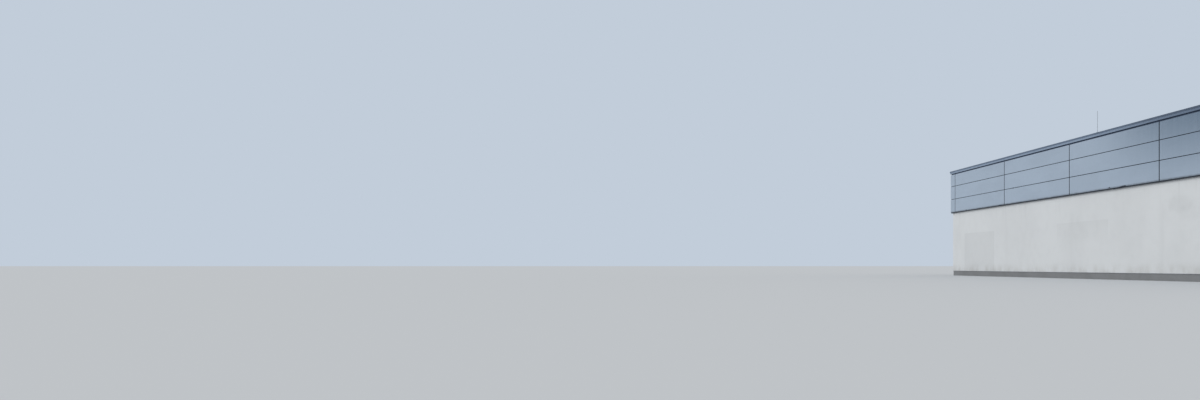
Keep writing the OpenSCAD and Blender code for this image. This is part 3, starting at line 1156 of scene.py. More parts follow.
    def along(self, piece: bpy.types.Object,
              steps: Iterable[Point]) -> list[bpy.types.Object]:
        """Copies a piece by each step."""
        return self.placed([piece], (Matrix.Translation(Vector(step)) for step in steps))

    def stand(self, pieces: Iterable[bpy.types.Object], side: Side) -> list[bpy.types.Object]:
        """Stands pieces that were drawn in a side's own frame on that side."""
        return self.placed(pieces, [side.matrix()])

    def fit(self, pieces: Sequence[bpy.types.Object], name: str, finish: Finish,
            smooth: bool = False) -> None:
        """Joins pieces into one, dresses it and lets it ride on the building.

        Args:
            pieces: The pieces, in the building's frame.
            name: Name of the finished piece.
            finish: Its finish.
            smooth: Whether its shallow edges are shaded smooth.
        """
        self.select(*pieces)
        if len(pieces) > 1:
            bpy.ops.object.join()
        piece = bpy.context.object
        piece.name = name
        piece.data.name = name
        if smooth:
            bpy.ops.object.shade_smooth_by_angle(angle=SMOOTH_ANGLE)
        piece.data.materials.clear()
        piece.data.materials.append(self.finishes[finish])
        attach(piece, BODY)
        self.made.append(piece)
        LOG.info("made %s: %d faces", name, len(piece.data.polygons))


@dataclass(frozen=True)
class Block:
    """A rounded block beside a point: its reach along x, y and z, and its rounding's width."""

    across: tuple[float, float]
    deep: tuple[float, float]
    up: tuple[float, float]
    edge: float

    def at(self, maker: Maker, point: Point) -> bpy.types.Object:
        """Shapes the block beside a point.

        Args:
            maker: The maker that shapes it.
            point: The point.

        Returns:
            The block.
        """
        low, high = ([place + reach for place, reach in zip(point, corner)]
                     for corner in zip(self.across, self.deep, self.up))
        return maker.block(low, high, self.edge)


@dataclass(frozen=True)
class Bar:
    """A short round bar beside a point: its offset, radius, length, rims, turn and sides."""

    offset: tuple[float, float, float]
    radius: float
    length: float
    edge: float
    turn: Point = LYING
    sides: int = 20

    def at(self, maker: Maker, point: Point) -> bpy.types.Object:
        """Shapes the bar beside a point."""
        middle = [place + offset for place, offset in zip(point, self.offset)]
        return maker.disc(middle, self.radius, self.length, self.edge, self.turn, self.sides)


@dataclass
class Assembly:
    """A sub-assembly of the building, which has its pieces shaped by the maker."""

    maker: Maker

    def build(self) -> None:
        """Makes every piece of the sub-assembly."""
        raise NotImplementedError


@dataclass(frozen=True)
class LooseSeal:
    """A length of seal that has slipped out: its middle, length, level and rise along X."""

    middle: float
    length: float
    level: float = 0.01
    rise: float = 0.0


@dataclass
class PanelBand(Assembly):
    """The band of wall panels: seals in its grooves and joints, and a few that have come loose."""

    long_bays: int = 6
    end_bays: int = 4
    joint: float = 0.05
    row_pitch: float = 0.8
    row_groove: float = 0.03
    groove_depth: float = 0.03
    strip_depth: float = 0.04
    lip: float = 0.006
    lip_set: float = 0.003
    seal_flank: float = 0.6
    seal_nose: float = 1.6
    loose: tuple[LooseSeal, ...] = (
        LooseSeal(-16.5, 0.10), LooseSeal(-12.4, 0.42, -0.01), LooseSeal(-11.06, 0.14, 0.8),
        LooseSeal(-3.06, 0.09, 0.04), LooseSeal(-2.4, 0.8, -0.012, 0.07),
    )
    loose_h: float = 0.04
    loose_section: tuple[tuple[float, float], ...] = (
        (0.008, -1.2), (-0.003, -1.0), (-0.004, 0.7), (-0.001, 1.0), (-0.0005, -0.6),
    )
    loose_cuts: int = 7
    loose_wave: float = 0.006
    loose_curl: float = 19.0

    def build(self) -> None:
        """Makes the seals."""
        self.row_seals()
        self.joint_lips()
        self.loose_seals()

    def joints(self, side: Side) -> list[float]:
        """Finds the upright joints of a side.

        Args:
            side: The side.

        Returns:
            Their places along it.
        """
        low, high = side.box(f"band_{side.label}")
        bays = self.long_bays if side.is_long else self.end_bays
        bay = (high.x - low.x + self.joint) / bays
        return [low.x - self.joint / 2 + bay * count for count in range(bays + 1)]

    def row_seals(self) -> None:
        """A rounded seal along each groove between two rows, from joint to joint."""
        back, half, lip, edge = self.groove_depth, self.row_groove / 2, self.lip, self.joint / 2
        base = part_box("band_corners")[0].z
        levels = [base + row * self.row_pitch for row in (1, 2)]
        seals = []
        for side in Side:
            joints = self.joints(side)
            end = side.half() - back
            stretches = [(-end, joints[0] - edge), (joints[-1] + edge, end)]
            stretches += [(a + edge, b - edge) for a, b in zip(joints, joints[1:])]
            flank, nose = half * self.seal_flank, lip * self.seal_nose
            section = [(back, -half), (back - lip, -flank), (back - nose, 0),
                       (back - lip, flank), (back, half)]
            for start, finish in stretches:
                seal = self.maker.run(section, start, finish)
                rows = self.maker.along(seal, [(0, 0, level) for level in levels])
                seals += self.maker.stand(rows, side)
        self.maker.fit(seals, "row_seals", Finish.RUBBER, smooth=True)

    def joint_lips(self) -> None:
        """Two rubber lips against the panels' edges in every upright joint."""
        low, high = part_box("band_joint_strips")
        edge, deep, lip = self.joint / 2, self.strip_depth, self.lip
        lips = []
        for side in Side:
            pair = [self.maker.upright([
                (way * edge, deep), (way * (edge - lip), deep),
                (way * (edge - lip), self.lip_set + lip), (way * edge, self.lip_set),
            ], low.z, high.z) for way in (-1, 1)]
            places = [Matrix.Translation((place, 0, 0)) for place in self.joints(side)]
            lips += self.maker.stand(self.maker.placed(pair, places), side)
        self.maker.fit(lips, "joint_lips", Finish.RUBBER)

    def loose_seals(self) -> None:
        """Short lengths of seal that have slipped over the edges of the front's panels."""
        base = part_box("band_corners")[0].z
        half = self.loose_h / 2
        bits = []
        for loose in self.loose:
            level = base + loose.level
            section = [(deep, level + half * share) for deep, share in self.loose_section]
            bit = self.maker.run(section, loose.middle - loose.length / 2,
                                 loose.middle + loose.length / 2)
            self.maker.edit(bit)
            bpy.ops.mesh.subdivide(number_cuts=self.loose_cuts)
            bpy.ops.object.mode_set(mode="OBJECT")
            for corner in bit.data.vertices:
                share = (corner.co.x - loose.middle) / loose.length
                wave = self.loose_wave * math.sin(self.loose_curl * corner.co.x)
                corner.co.z += loose.rise * share + wave
            bits.append(bit)
        self.maker.fit(self.maker.stand(bits, Side.FRONT), "loose_seals", Finish.RUBBER)


@dataclass
class Copings(Assembly):
    """The folded copings: seals in their joints and rivets beside them."""

    lengths: int = 2
    joint: float = 0.006
    step: float = 0.012
    sheet: float = 0.006
    fold: float = 0.07
    fall: float = 0.025
    top_t: float = 0.04
    set_in: float = 0.002
    rivet: float = 0.006
    rivet_out: float = 0.0025
    rivet_edge: float = 0.0015
    rivet_sides: int = 10
    rivet_from_joint: float = 0.035
    rivet_from_foot: float = 0.05
    top_rivets: tuple[float, float] = (0.25, 0.75)

    def build(self) -> None:
        """Makes the seals and the rivets."""
        self.band = PanelBand(self.maker)
        seals = []
        rivets = []
        for side in Side:
            places = self.places(side)
            seal = self.maker.along(self.seal(), [(place, 0, 0) for place in places])
            seals += self.maker.stand(seal, side)
            beside = [Matrix.Translation((place + way * self.rivet_from_joint, 0, 0))
                      for place in places for way in (-1, 1)]
            rivets += self.maker.stand(self.maker.placed(self.rivets(), beside), side)
        self.maker.fit(seals, "coping_seals", Finish.RUBBER)
        self.maker.fit(rivets, "coping_rivets", Finish.COPING, smooth=True)

    def places(self, side: Side) -> list[float]:
        """Finds the coping's joints along a side: one over each panel joint, and between.

        Args:
            side: The side.

        Returns:
            Their places along it.
        """
        joints = self.band.joints(side)
        pitch = (joints[1] - joints[0]) / self.lengths
        return [joints[0] + pitch * count for count in range((len(joints) - 1) * self.lengths + 1)]

    def seal(self) -> bpy.types.Object:
        """A seal that fills a joint, set in a little from the coping's faces.

        Returns:
            The seal, at x = 0.
        """
        low, high = Side.FRONT.box("coping_front")
        out, lower = low.y + self.set_in, low.y + self.step + self.set_in
        inside, top = high.y - self.set_in, high.z - self.set_in
        leg = lower + self.sheet / 2
        kink = high.z - self.fold + self.set_in
        section = [(out, top), (out, kink), (lower, kink), (lower, low.z + self.set_in),
                   (leg, low.z + self.set_in), (leg, high.z - self.top_t + self.set_in),
                   (inside, high.z - self.top_t + self.set_in), (inside, top - self.fall)]
        return self.maker.run(section, -self.joint / 2, self.joint / 2)

    def rivets(self) -> list[bpy.types.Object]:
        """One domed rivet on the lower fold and two on the top.

        Returns:
            The rivets, at x = 0.
        """
        low, high = Side.FRONT.box("coping_front")
        deep = high.y - low.y
        spots = [((0, low.y + self.step, low.z + self.rivet_from_foot), LYING)]
        spots += [((0, low.y + deep * share, high.z - self.fall * share), UPRIGHT)
                  for share in self.top_rivets]
        return [self.maker.disc(place, self.rivet, 2 * self.rivet_out, self.rivet_edge, turn,
                                self.rivet_sides) for place, turn in spots]


@dataclass
class RoofSkin(Assembly):
    """The membrane's laps, its welded strips along the parapets and collars at the outlets."""

    roll: float = 1.525
    lap: float = 0.09
    lap_t: float = 0.003
    foot: float = 0.07
    upstand_t: float = 0.01
    under_coping: float = 0.1
    fillet: float = 2.5
    collar: float = 0.62
    collar_t: float = 0.005
    collar_edge: float = 0.002
    collar_sides: int = 40
    flange: float = 0.38
    outlets: int = 3
    slope: float = 0.02

    def build(self) -> None:
        """Makes the laps, strips and collars."""
        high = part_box("roof_covering")[1]
        self.ridge = high.z
        self.half_x = high.x
        self.inner_x, self.inner_y = high.x - self.upstand_t, high.y - self.upstand_t
        self.laps()
        self.upstand_laps()
        self.foot_strips()
        self.collars()

    def level(self, across: float) -> float:
        """Level of the membrane at a distance from the ridge."""
        return self.ridge - abs(across) * self.slope

    def rolls(self) -> list[float]:
        """Places of the laps along the building."""
        count = int(self.half_x / self.roll)
        return [self.roll * step for step in range(-count, count + 1)]

    def over_ridge(self, reach: float, thick: float) -> Section:
        """Section of a strip that lies over the ridge and reaches as far down both falls."""
        under = [(-reach, self.level(reach)), (0.0, self.ridge), (reach, self.level(reach))]
        return under + [(across, height + thick) for across, height in reversed(under)]

    def laps(self) -> None:
        """One lap across the roof for each roll, and a strip along the ridge."""
        section = self.over_ridge(self.inner_y - self.foot / 2, self.lap_t)
        strip = self.maker.run(section, -self.lap / 2, self.lap / 2)
        pieces = self.maker.along(strip, [(place, 0, 0) for place in self.rolls()])
        end = self.inner_x - self.foot / 2
        pieces.append(self.maker.run(self.over_ridge(2 * self.lap, 2 * self.lap_t), -end, end))
        self.maker.fit(pieces, "membrane_laps", Finish.WELD)

    def upstand_laps(self) -> None:
        """The rolls' laps where they turn up the long parapets."""
        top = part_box("roof_upstand")[1].z - self.under_coping
        half, corner = self.lap / 2, self.lap_t / 2
        pieces = []
        for way in (-1, 1):
            face = way * self.inner_y
            near = way * (self.inner_y - self.lap_t)
            section = [(-half, face), (-half + corner, near), (half - corner, near), (half, face)]
            lap = self.maker.upright(section, self.level(self.inner_y), top)
            pieces += self.maker.along(lap, [(place, 0, 0) for place in self.rolls()])
        self.maker.fit(pieces, "upstand_laps", Finish.WELD)

    def foot_section(self, inner: float, way: int, level: float) -> Section:
        """Draws the section of a strip that is folded into the corner of a parapet.

        Args:
            inner: How far the parapet's inner face is from the building's middle.
            way: The side that it is on, 1 or -1.
            level: Level of the roof there.

        Returns:
            The section.
        """
        foot, thick = self.foot, self.collar_t
        fillet = self.fillet * thick
        return [(way * inner, level), (way * (inner - foot), level),
                (way * (inner - foot), level + thick / 2), (way * (inner - fillet), level + fillet),
                (way * (inner - thick / 2), level + foot), (way * inner, level + foot)]

    def foot_strips(self) -> None:
        """Folded strips welded into the corner between roof and parapets."""
        reach = self.inner_y - self.foot / 2
        pieces = []
        for way in (-1, 1):
            eaves = self.foot_section(self.inner_y, way, self.level(self.inner_y))
            pieces.append(self.maker.run(eaves, -self.inner_x, self.inner_x))
            verge = self.foot_section(self.inner_x, way, self.ridge)
            for fall in (-1, 1):
                pieces.append(self.maker.draw([(x, 0, z) for x, z in verge],
                                              (0, fall * reach, self.level(reach) - self.ridge)))
        self.maker.fit(pieces, "foot_strips", Finish.WELD)

    def collars(self) -> None:
        """A round patch of membrane under each outlet's flange."""
        low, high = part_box("roof_outlets")
        reach = (high.y - low.y - self.flange) / 2
        pitch = (high.x - low.x - self.flange) / (self.outlets - 1)
        first = low.x + self.flange / 2
        pieces = []
        for way in (-1, 1):
            collar = self.maker.disc((first, way * reach, self.level(reach)), self.collar / 2,
                                     2 * self.collar_t, self.collar_edge,
                                     (-way * math.atan(self.slope), 0, 0), self.collar_sides)
            steps = [(pitch * count, 0, 0) for count in range(self.outlets)]
            pieces += self.maker.along(collar, steps)
        self.maker.fit(pieces, "outlet_collars", Finish.WELD, smooth=True)


@dataclass
class RenderFoot(Assembly):
    """The drip profile along the foot of the render, between the doorways."""

    thick: float = 0.004
    drop: float = 0.014

    def build(self) -> None:
        """Makes the profile."""
        doors = {Side.ENTRANCE: "entrance_frame", Side.REAR: "exit_door_frame",
                 Side.FAR: "delivery_door_frame"}
        runs = []
        for side in Side:
            wall = side.box(f"{side.label}_wall")[0]
            face, foot = wall.y, wall.z
            back = side.box(f"plinth_{side.label}")[0].y
            half = side.half() - (face if side.is_long else back)
            stretches = [(-half, half)]
            if side in doors:
                low, high = side.box(doors[side])
                stretches = [(-half, low.x), (high.x, half)]
            section = [(back, foot), (back, foot - self.thick),
                       (face + self.thick, foot - self.thick),
                       (face + self.thick, foot - self.drop), (face, foot - self.drop),
                       (face, foot)]
            runs += self.maker.stand(
                [self.maker.run(section, start, end) for start, end in stretches], side)
        self.maker.fit(runs, "render_foot_profile", Finish.BRUSHED)


@dataclass
class GlazedFront(Assembly):
    """The customers' entrance: caps on its frame, gaskets, door seals, sensor and safety film."""

    lights: int = 6
    frame_w: float = 0.08
    cap_w: float = 0.05
    cap_out: float = 0.012
    gasket: float = 0.008
    gasket_t: float = 0.006
    stile_w: float = 0.06
    leaf_gap: float = 0.008
    nose_reach: float = 0.014
    nose_notch: float = 0.006
    nose_slit: float = 0.001
    brush_root: float = 0.005
    brush_tip: float = 0.003
    brush_h: float = 0.006
    brush_end: float = 0.01
    sensor_body: Block = Block((-0.13, 0.13), (-0.05, 0.002), (-0.03, 0.035), 0.012)
    sensor_lens: Block = Block((-0.075, 0.075), (-0.053, -0.045), (-0.016, 0.014), 0.003)
    film: float = 0.05
    film_corner: float = 0.00625
    film_off: float = 0.0008
    film_t: float = 0.0006
    film_levels: tuple[float, ...] = (1.05, 1.55)
    track_w: float = 0.06
    track_h: float = 0.004
    track_edge: float = 0.008
    slot: float = 0.006
    slot_floor: float = 0.001

    def build(self) -> None:
        """Makes the pieces of the glazed front."""
        self.low, self.high = Side.ENTRANCE.box("entrance_frame")
        self.gear = Side.ENTRANCE.box("entrance_door_gear")
        self.leaves = Side.ENTRANCE.box("entrance_doors")
        self.pitch = (self.high.x - self.low.x - self.frame_w) / self.lights
        self.transom = self.gear[1].z - self.frame_w
        self.caps()
        self.gaskets()
        self.door_seals()
        self.sensor()
        self.safety_film()
        self.floor_track()

    def mullion(self, count: int) -> float:
        """Middle of a mullion, counted from the left."""
        return self.low.x + self.frame_w / 2 + count * self.pitch

    def is_door(self, count: int) -> bool:
        """Whether a light of the lower row is doorway."""
        return count in (self.lights // 2 - 1, self.lights // 2)

    def fixed_panes(self) -> list[tuple[Vector, Vector]]:
        """Finds the clear glass of every fixed light.

        Returns:
            Lowest and highest corners of each pane, lower lights first.
        """
        near, far = (corner.y for corner in Side.ENTRANCE.box("entrance_glass"))
        half = self.frame_w / 2
        lower, upper = [], []
        for count in range(self.lights):
            start, end = self.mullion(count) + half, self.mullion(count + 1) - half
            if not self.is_door(count):
                lower.append((Vector((start, near, self.low.z + self.frame_w)),
                              Vector((end, far, self.transom))))
            upper.append((Vector((start, near, self.transom + self.frame_w)),
                          Vector((end, far, self.high.z - self.frame_w))))
        return lower + upper

    def leaf_panes(self) -> list[tuple[Vector, Vector]]:
        """Finds the clear glass of both door leaves.

        Returns:
            Lowest and highest corners of each pane.
        """
        low, high = self.leaves
        near, far = (corner.y for corner in Side.ENTRANCE.box("entrance_door_glass"))
        edge = self.stile_w
        inner = self.leaf_gap / 2 + edge
        middle = (low.x + high.x) / 2
        return [(Vector((start, near, low.z + edge)), Vector((end, far, high.z - edge)))
                for start, end in ((low.x + edge, middle - inner), (middle + inner, high.x - edge))]

    def cap_section(self, middle: float) -> Section:
        """Draws the section of a cover cap with chamfered edges.

        Args:
            middle: Middle of the cap, across it.

        Returns:
            The section, as (across, depth).
        """
        half, face, out = self.cap_w / 2, self.low.y, self.cap_out
        edge = out / 2
        return [(middle - half, face), (middle - half, face - edge),
                (middle - half + edge, face - out), (middle + half - edge, face - out),
                (middle + half, face - edge), (middle + half, face)]

    def caps(self) -> None:
        """Caps up every mullion and along the rails between them."""
        half, cap = self.frame_w / 2, self.cap_w / 2
        pieces = []
        for count in range(self.lights + 1):
            over_door = count == self.lights // 2
            foot = self.transom + half - cap if over_door else self.low.z
            pieces.append(self.maker.upright(self.cap_section(self.mullion(count)), foot,
                                             self.high.z))
        for count in range(self.lights):
            levels = [self.transom + half, self.high.z - half]
            if not self.is_door(count):
                levels.append(self.low.z + half)
            for level in levels:
                section = [(depth, across) for across, depth in self.cap_section(level)]
                pieces.append(self.maker.run(section, self.mullion(count) + cap,
                                             self.mullion(count + 1) - cap))
        self.maker.fit(self.maker.stand(pieces, Side.ENTRANCE), "frame_caps", Finish.FRAME)

    def gaskets(self) -> None:
        """A gasket round each light, on both faces of the glass."""
        rings = []
        for low, high in self.fixed_panes() + self.leaf_panes():
            for near, far in ((low.y - self.gasket_t, low.y), (high.y, high.y + self.gasket_t)):
                rings.append(self.maker.ring((low.x, near, low.z), (high.x, far, high.z),
                                             self.gasket))
        self.maker.fit(self.maker.stand(rings, Side.ENTRANCE), "glazing_gaskets", Finish.RUBBER)

    def door_seals(self) -> None:
        """A rubber nose where the leaves meet, and a brush under each leaf."""
        low, high = self.leaves
        middle, deep = (low.x + high.x) / 2, (low.y + high.y) / 2
        half, reach, slit = self.leaf_gap / 2, self.nose_reach, self.nose_slit
        notch = deep - self.nose_notch
        nose = [(middle - half, deep - reach), (middle - slit, notch), (middle + slit, notch),
                (middle + half, deep - reach), (middle + half, deep + reach),
                (middle - half, deep + reach)]
        foot, root, tip = low.z - self.brush_h, self.brush_root, self.brush_tip
        brush = [(deep - root, low.z), (deep + root, low.z), (deep + tip, foot),
                 (deep - tip, foot)]
        end = self.brush_end
        pieces = [self.maker.upright(nose, low.z, high.z),
                  self.maker.run(brush, low.x + end, middle - end),
                  self.maker.run(brush, middle + end, high.x - end)]
        self.maker.fit(self.maker.stand(pieces, Side.ENTRANCE), "door_seals", Finish.RUBBER)

    def sensor(self) -> None:
        """The movement sensor on the transom over the doors, with its lens."""
        spot = ((self.leaves[0].x + self.leaves[1].x) / 2, self.low.y - self.cap_out,
                self.transom + self.frame_w / 2)
        for shape, name, finish in ((self.sensor_body, "door_sensor", Finish.OUTLET),
                                    (self.sensor_lens, "sensor_lens", Finish.RUBBER)):
            piece = shape.at(self.maker, spot)
            self.maker.fit(self.maker.stand([piece], Side.ENTRANCE), name, finish, smooth=True)

    def safety_film(self) -> None:
        """Rows of plain frosted squares across the lower lights and the doors, at eye level."""
        side, corner = self.film, self.film_corner
        lower = self.fixed_panes()[:self.lights - 2]
        squares = []
        for low, high in lower + self.leaf_panes():
            count = int((high.x - low.x - side) / (2 * side))
            start = (low.x + high.x - (2 * count - 1) * side) / 2
            outline = [(corner, 0), (side - corner, 0), (side, corner), (side, side - corner),
                       (side - corner, side), (corner, side), (0, side - corner), (0, corner)]
            square = self.maker.draw([(start + x, low.y - self.film_off, z) for x, z in outline],
                                     (0, self.film_t, 0))
            squares += self.maker.along(square, [(2 * side * step, 0, level)
                                                 for step in range(count)
                                                 for level in self.film_levels])
        self.maker.fit(self.maker.stand(squares, Side.ENTRANCE), "safety_film", Finish.FROSTED)

    def floor_track(self) -> None:
        """A ribbed track on the threshold, along the path of the leaves."""
        low, high = self.leaves
        middle = (low.y + high.y) / 2
        floor, top, half = self.low.z, self.low.z + self.track_h, self.track_w / 2
        edge, slot, low_floor = self.track_edge, self.slot, floor + self.slot_floor
        section = [(middle - half, floor), (middle - half + edge, top), (middle - edge, top),
                   (middle - slot, low_floor), (middle + slot, low_floor),
                   (middle + edge, top), (middle + half - edge, top), (middle + half, floor)]
        track = self.maker.run(section, self.gear[0].x, self.gear[1].x)
        self.maker.fit(self.maker.stand([track], Side.ENTRANCE), "floor_track", Finish.BRUSHED)


@dataclass
class DeliveryGate(Assembly):
    """The delivery door: lip seals round its frame, a foot seal, a lifting handle, a sill."""

    jamb_w: float = 0.07
    lip: float = 0.03
    lip_t: float = 0.006
    off_face: float = 0.001
    bulb: tuple[tuple[float, float], ...] = (
        (-0.012, 0.001), (-0.016, 0.012), (-0.012, 0.03), (-0.001, 0.045), (-0.001, 0.001),
    )
    handle_level: float = 0.72
    handle_plate: Block = Block((-0.11, 0.11), (-0.004, 0), (-0.035, 0.035), 0.0015)
    handle_post: Bar = Bar((0, -0.026, 0), 0.008, 0.045, 0.002)
    post_from_middle: float = 0.075
    handle_grip: Bar = Bar((0, -0.048, 0), 0.009, 0.19, 0.004, ACROSS)
    sill_t: float = 0.004
    sill_w: float = 0.05
    sill_drop: float = 0.04
    sill_end: float = 0.002

    def build(self) -> None:
        """Makes the pieces of the delivery door."""
        self.low, self.high = Side.FAR.box("delivery_door_frame")
        self.leaf = Side.FAR.box("delivery_door")
        self.seals()
        self.handle()
        self.sill()

    def seals(self) -> None:
        """Lips from the frame's inner edges on to the door's face, and a bulb at its foot."""
        face = self.leaf[0].y
        left, right = self.low.x + self.jamb_w, self.high.x - self.jamb_w
        head, foot = self.high.z - self.jamb_w, self.low.z
        pieces = []
        for edge, way in ((left, 1), (right, -1)):
            section = [(edge, face - self.lip), (edge + way * self.lip_t, face - self.lip),
                       (edge + way * self.lip, face - self.off_face),
                       (edge, face - self.off_face)]
            pieces.append(self.maker.upright(section, foot, head))
        top = [(face - self.lip, head), (face - self.lip, head - self.lip_t),
               (face - self.off_face, head - self.lip), (face - self.off_face, head)]
        pieces.append(self.maker.run(top, left, right))
        bulb = [(face + deep, foot + height) for deep, height in self.bulb]
        pieces.append(self.maker.run(bulb, left + self.lip, right - self.lip))
        self.maker.fit(self.maker.stand(pieces, Side.FAR), "delivery_seals", Finish.RUBBER)

    def handle(self) -> None:
        """A bow handle on its plate, low on the door."""
        face = self.leaf[0].y
        middle = (self.leaf[0].x + self.leaf[1].x) / 2
        level = self.low.z + self.handle_level
        plate = self.handle_plate.at(self.maker, (middle, face, level))
        posts = [self.handle_post.at(self.maker, (middle + way * self.post_from_middle, face,
                                                  level)) for way in (-1, 1)]
        grip = self.handle_grip.at(self.maker, (middle, face, level))
        pieces = self.maker.stand([plate, *posts, grip], Side.FAR)
        self.maker.fit(pieces, "delivery_handle", Finish.BRUSHED, smooth=True)

    def sill(self) -> None:
        """A steel angle that guards the edge of the threshold."""
        edge, thick = Side.FAR.box("far_end_wall")[0].y, self.sill_t
        floor, foot = self.low.z, self.low.z - self.sill_drop
        section = [(edge, floor), (edge + self.sill_w, floor), (edge + self.sill_w, floor + thick),
                   (edge - thick, floor + thick), (edge - thick, foot), (edge, foot)]
        sill = self.maker.run(section, self.low.x + self.sill_end, self.high.x - self.sill_end)
        self.maker.fit(self.maker.stand([sill], Side.FAR), "delivery_sill", Finish.BRUSHED)


@dataclass
class ExitDoor(Assembly):
    """The exit door: hinges, lever handle, kick plate and the seal round its leaf."""

    hinge_inset: float = 0.25
    knuckle: Bar = Bar((-0.002, -0.009, 0), 0.009, 0.038, 0.0015, UPRIGHT)
    knuckle_pitch: float = 0.04
    hinge_leaf: Block = Block((0.004, 0.034), (-0.003, 0), (-0.06, 0.06), 0.001)
    lever_inset: float = 0.065
    lever_level: float = 1.04
    lever_plate: Block = Block((-0.021, 0.021), (-0.008, 0), (-0.13, 0.06), 0.003)
    lever_neck: Bar = Bar((0, -0.03, 0), 0.01, 0.045, 0.002)
    lever_grip: Block = Block((-0.125, 0.011), (-0.058, -0.042), (-0.01, 0.01), 0.005)
    lever_lock: Bar = Bar((0, -0.01, -0.085), 0.011, 0.012, 0.002)
    kick_h: float = 0.2
    kick_t: float = 0.002
    kick_edge: float = 0.0008
    kick_inset: float = 0.05
    kick_foot: float = 0.02
    screw: Bar = Bar((0.02, -0.0025, 0.015), 0.005, 0.003, 0.001, sides=12)
    screws: int = 5
    gap: float = 0.004
    gap_seal: tuple[float, float] = (0.006, 0.02)

    def build(self) -> None:
        """Makes the pieces of the exit door."""
        self.low, self.high = Side.REAR.box("exit_door")
        self.hinges()
        self.lever()
        self.kick_plate()
        self.seal()

    def hinges(self) -> None:
        """Three barrel hinges up the left edge, each of three knuckles and a leaf."""
        inset, pitch = self.hinge_inset, self.knuckle_pitch
        pieces = []
        for level in (self.low.z + inset, (self.low.z + self.high.z) / 2, self.high.z - inset):
            spot = (self.low.x, self.low.y, level)
            knuckle = self.knuckle.at(self.maker, spot)
            pieces += self.maker.along(knuckle, [(0, 0, pitch * step) for step in (-1, 0, 1)])
            pieces.append(self.hinge_leaf.at(self.maker, spot))
        pieces = self.maker.stand(pieces, Side.REAR)
        self.maker.fit(pieces, "exit_hinges", Finish.BRUSHED, smooth=True)

    def lever(self) -> None:
        """A lever handle with its plate and lock, on the edge away from the hinges."""
        spot = (self.high.x - self.lever_inset, self.low.y, self.low.z + self.lever_level)
        shapes = (self.lever_plate, self.lever_neck, self.lever_grip, self.lever_lock)
        pieces = self.maker.stand([shape.at(self.maker, spot) for shape in shapes], Side.REAR)
        self.maker.fit(pieces, "exit_lever", Finish.BRUSHED, smooth=True)

    def kick_plate(self) -> None:
        """A plate across the foot of the leaf, with its screws."""
        face = self.low.y
        left, right = self.low.x + self.kick_inset, self.high.x - self.kick_inset
        foot = self.low.z + self.kick_foot
        plate = self.maker.block((left, face - self.kick_t, foot),
                                 (right, face, foot + self.kick_h), self.kick_edge)
        inset, _, height = self.screw.offset
        pitch = (right - left - 2 * inset) / (self.screws - 1)
        rows = (0, self.kick_h - 2 * height)
        screws = self.maker.along(self.screw.at(self.maker, (left, face, foot)),
                                  [(step * pitch, 0, row) for step in range(self.screws)
                                   for row in rows])
        pieces = self.maker.stand([plate, *screws], Side.REAR)
        self.maker.fit(pieces, "exit_kick_plate", Finish.BRUSHED, smooth=True)

    def seal(self) -> None:
        """Rubber in the gap round the leaf, set back from its face."""
        front, back = (self.low.y + deep for deep in self.gap_seal)
        ring = self.maker.ring((self.low.x - self.gap, front, self.low.z - self.gap),
                               (self.high.x + self.gap, back, self.high.z + self.gap), self.gap)
        self.maker.fit(self.maker.stand([ring], Side.REAR), "exit_seal", Finish.RUBBER)


@dataclass
class RodFittings(Assembly):
    """The lightning rods' clamps, screws and tips."""

    foot_w: float = 0.12
    foot_h: float = 0.035
    clamp: float = 0.03
    clamp_slit: float = 0.002
    clamp_edge: float = 0.003
    screw: Bar = Bar((0, 0, 0), 0.006, 0.008, 0.001, LYING, 6)
    screw_place: float = 0.021
    bolt: Bar = Bar((0, 0, 0.002), 0.008, 0.006, 0.001, UPRIGHT, 6)
    bolt_place: float = 0.045
    tip_r: float = 0.01116
    tip_h: float = 0.04
    tip_edge: float = 0.004

    def build(self) -> None:
        """Makes the fittings at every rod."""
        low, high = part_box("lightning_rods")
        half, reach = self.foot_w / 2, self.clamp
        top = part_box("coping_front")[1].z + self.foot_h
        places = [Matrix.Translation((x, y, 0)) for x in (low.x + half, high.x - half)
                  for y in (low.y + half, high.y - half)]
        slit, edge = self.clamp_slit, self.clamp_edge
        clamp = [self.maker.block((-reach, -reach, top), (reach, -slit, top + reach), edge),
                 self.maker.block((-reach, slit, top), (reach, reach, top + reach), edge)]
        clamp += [self.screw.at(self.maker, (way * self.screw_place, -reach, top + reach / 2))
                  for way in (-1, 1)]
        clamp += [self.bolt.at(self.maker, (way * self.bolt_place, way * self.bolt_place, top))
                  for way in (-1, 1)]
        self.maker.fit(self.maker.placed(clamp, places), "rod_clamps", Finish.BRUSHED)
        tip = self.maker.disc((0, 0, high.z - self.tip_h / 2), self.tip_r, self.tip_h,
                              self.tip_edge)
        self.maker.fit(self.maker.placed([tip], places), "rod_tips", Finish.BRUSHED, smooth=True)


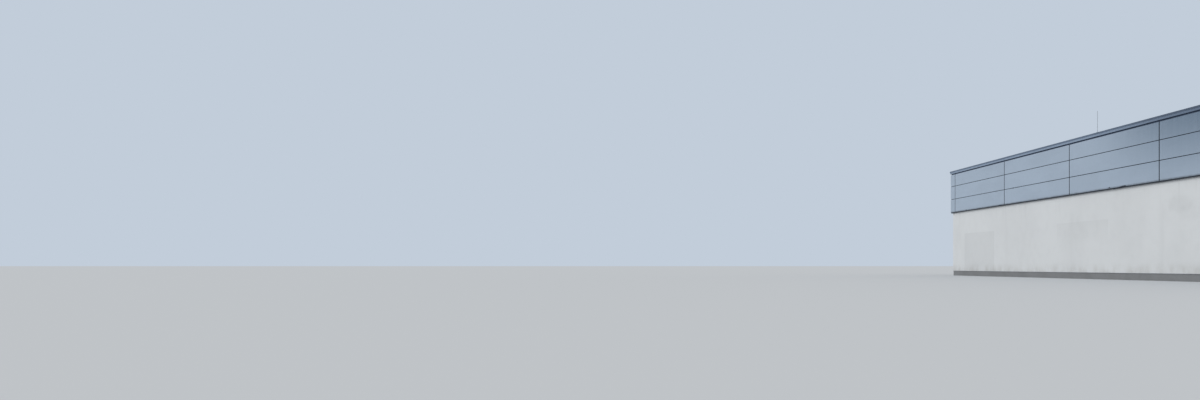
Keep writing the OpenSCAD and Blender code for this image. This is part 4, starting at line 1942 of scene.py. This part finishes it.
@dataclass
class Stage:
    """The pale floor, the sky, the soft light and the camera."""

    ahead: float = 49.96
    aside: float = 21.94
    eye: float = 0.587
    lens: float = 24.0
    sensor: float = 36.0
    picture: tuple[int, int] = (1200, 400)
    middle: float = 599.5
    horizon: float = 266.0
    reach: float = 3000.0
    ground: Paint = (196, 200, 204)
    sky: Paint = (194, 205, 218)
    daylight: float = 0.82
    lamp: float = 0.85
    lamp_spread: float = 35.0
    lamp_way: tuple[float, float, float] = (-0.35, 0.85, -0.5)

    def build(self) -> None:
        """Makes the whole stage."""
        self.stand_camera()
        self.lay_floor()
        self.light_sky()
        self.hang_lamp()

    def stand_camera(self) -> None:
        """Stands the camera where the photograph was taken, looking along the front wall."""
        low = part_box("band_corners")[0]
        data = bpy.data.cameras.new("camera")
        data.lens = self.lens
        data.sensor_width = self.sensor
        data.sensor_fit = "HORIZONTAL"
        data.shift_x = (self.picture[0] / 2 - self.middle) / self.picture[0]
        data.shift_y = (self.horizon - self.picture[1] / 2) / self.picture[0]
        data.clip_end = 2 * self.reach
        camera = bpy.data.objects.new("camera", data)
        camera.location = (low.x + self.ahead, low.y - self.aside, self.eye)
        camera.rotation_euler = (math.pi / 2, 0, math.pi / 2)
        bpy.context.scene.collection.objects.link(camera)
        bpy.context.scene.camera = camera

    def lay_floor(self) -> None:
        """Lays the floor out to the horizon."""
        bpy.ops.object.select_all(action="DESELECT")
        bpy.ops.mesh.primitive_plane_add(size=2 * self.reach)
        plane = bpy.context.object
        plane.name = "stage_floor"
        plane.data.materials.append(Graph("stage_floor").finish(
            tone(*self.ground), 1.0, Specular_IOR_Level=0.0))

    def light_sky(self) -> None:
        """Even daylight, and a plain sky where the camera, gloss or glass looks at it."""
        world = bpy.data.worlds.new("sky")
        bpy.context.scene.world = world
        world.use_nodes = True
        tree = world.node_tree
        tree.nodes.clear()
        output = tree.nodes.new("ShaderNodeOutputWorld")
        path = tree.nodes.new("ShaderNodeLightPath")
        seen = path.outputs["Is Camera Ray"]
        for ray in ("Is Glossy Ray", "Is Transmission Ray"):
            either = tree.nodes.new("ShaderNodeMath")
            either.operation = "MAXIMUM"
            tree.links.new(seen, either.inputs[0])
            tree.links.new(path.outputs[ray], either.inputs[1])
            seen = either.outputs[0]
        lit, shown = (tree.nodes.new("ShaderNodeBackground") for _ in range(2))
        lit.inputs["Color"].default_value = (1, 1, 1, 1)
        lit.inputs["Strength"].default_value = self.daylight
        shown.inputs["Color"].default_value = tone(*self.sky)
        blend = tree.nodes.new("ShaderNodeMixShader")
        tree.links.new(seen, blend.inputs[0])
        tree.links.new(lit.outputs[0], blend.inputs[1])
        tree.links.new(shown.outputs[0], blend.inputs[2])
        tree.links.new(blend.outputs[0], output.inputs["Surface"])

    def hang_lamp(self) -> None:
        """One wide soft lamp, high in front of the entrance corner."""
        data = bpy.data.lights.new("soft_lamp", "SUN")
        data.energy = self.lamp
        data.angle = math.radians(self.lamp_spread)
        lamp = bpy.data.objects.new("soft_lamp", data)
        lamp.rotation_euler = Vector(self.lamp_way).to_track_quat("-Z", "Y").to_euler()
        bpy.context.scene.collection.objects.link(lamp)


def main() -> None:
    """Builds the scene in order."""
    logging.basicConfig(level=logging.INFO, format="%(name)s: %(message)s")
    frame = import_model()
    bpy.context.scene.view_settings.view_transform = "Standard"
    Stage().build()
    finishes = make_finishes()
    dress(frame, finishes)
    maker = Maker(finishes)
    for assembly in (PanelBand, Copings, RoofSkin, RenderFoot, GlazedFront, DeliveryGate, ExitDoor,
                     RodFittings):
        assembly(maker).build()
    LOG.info("%d new pieces", len(maker.made))


if __name__ == "__main__":
    main()
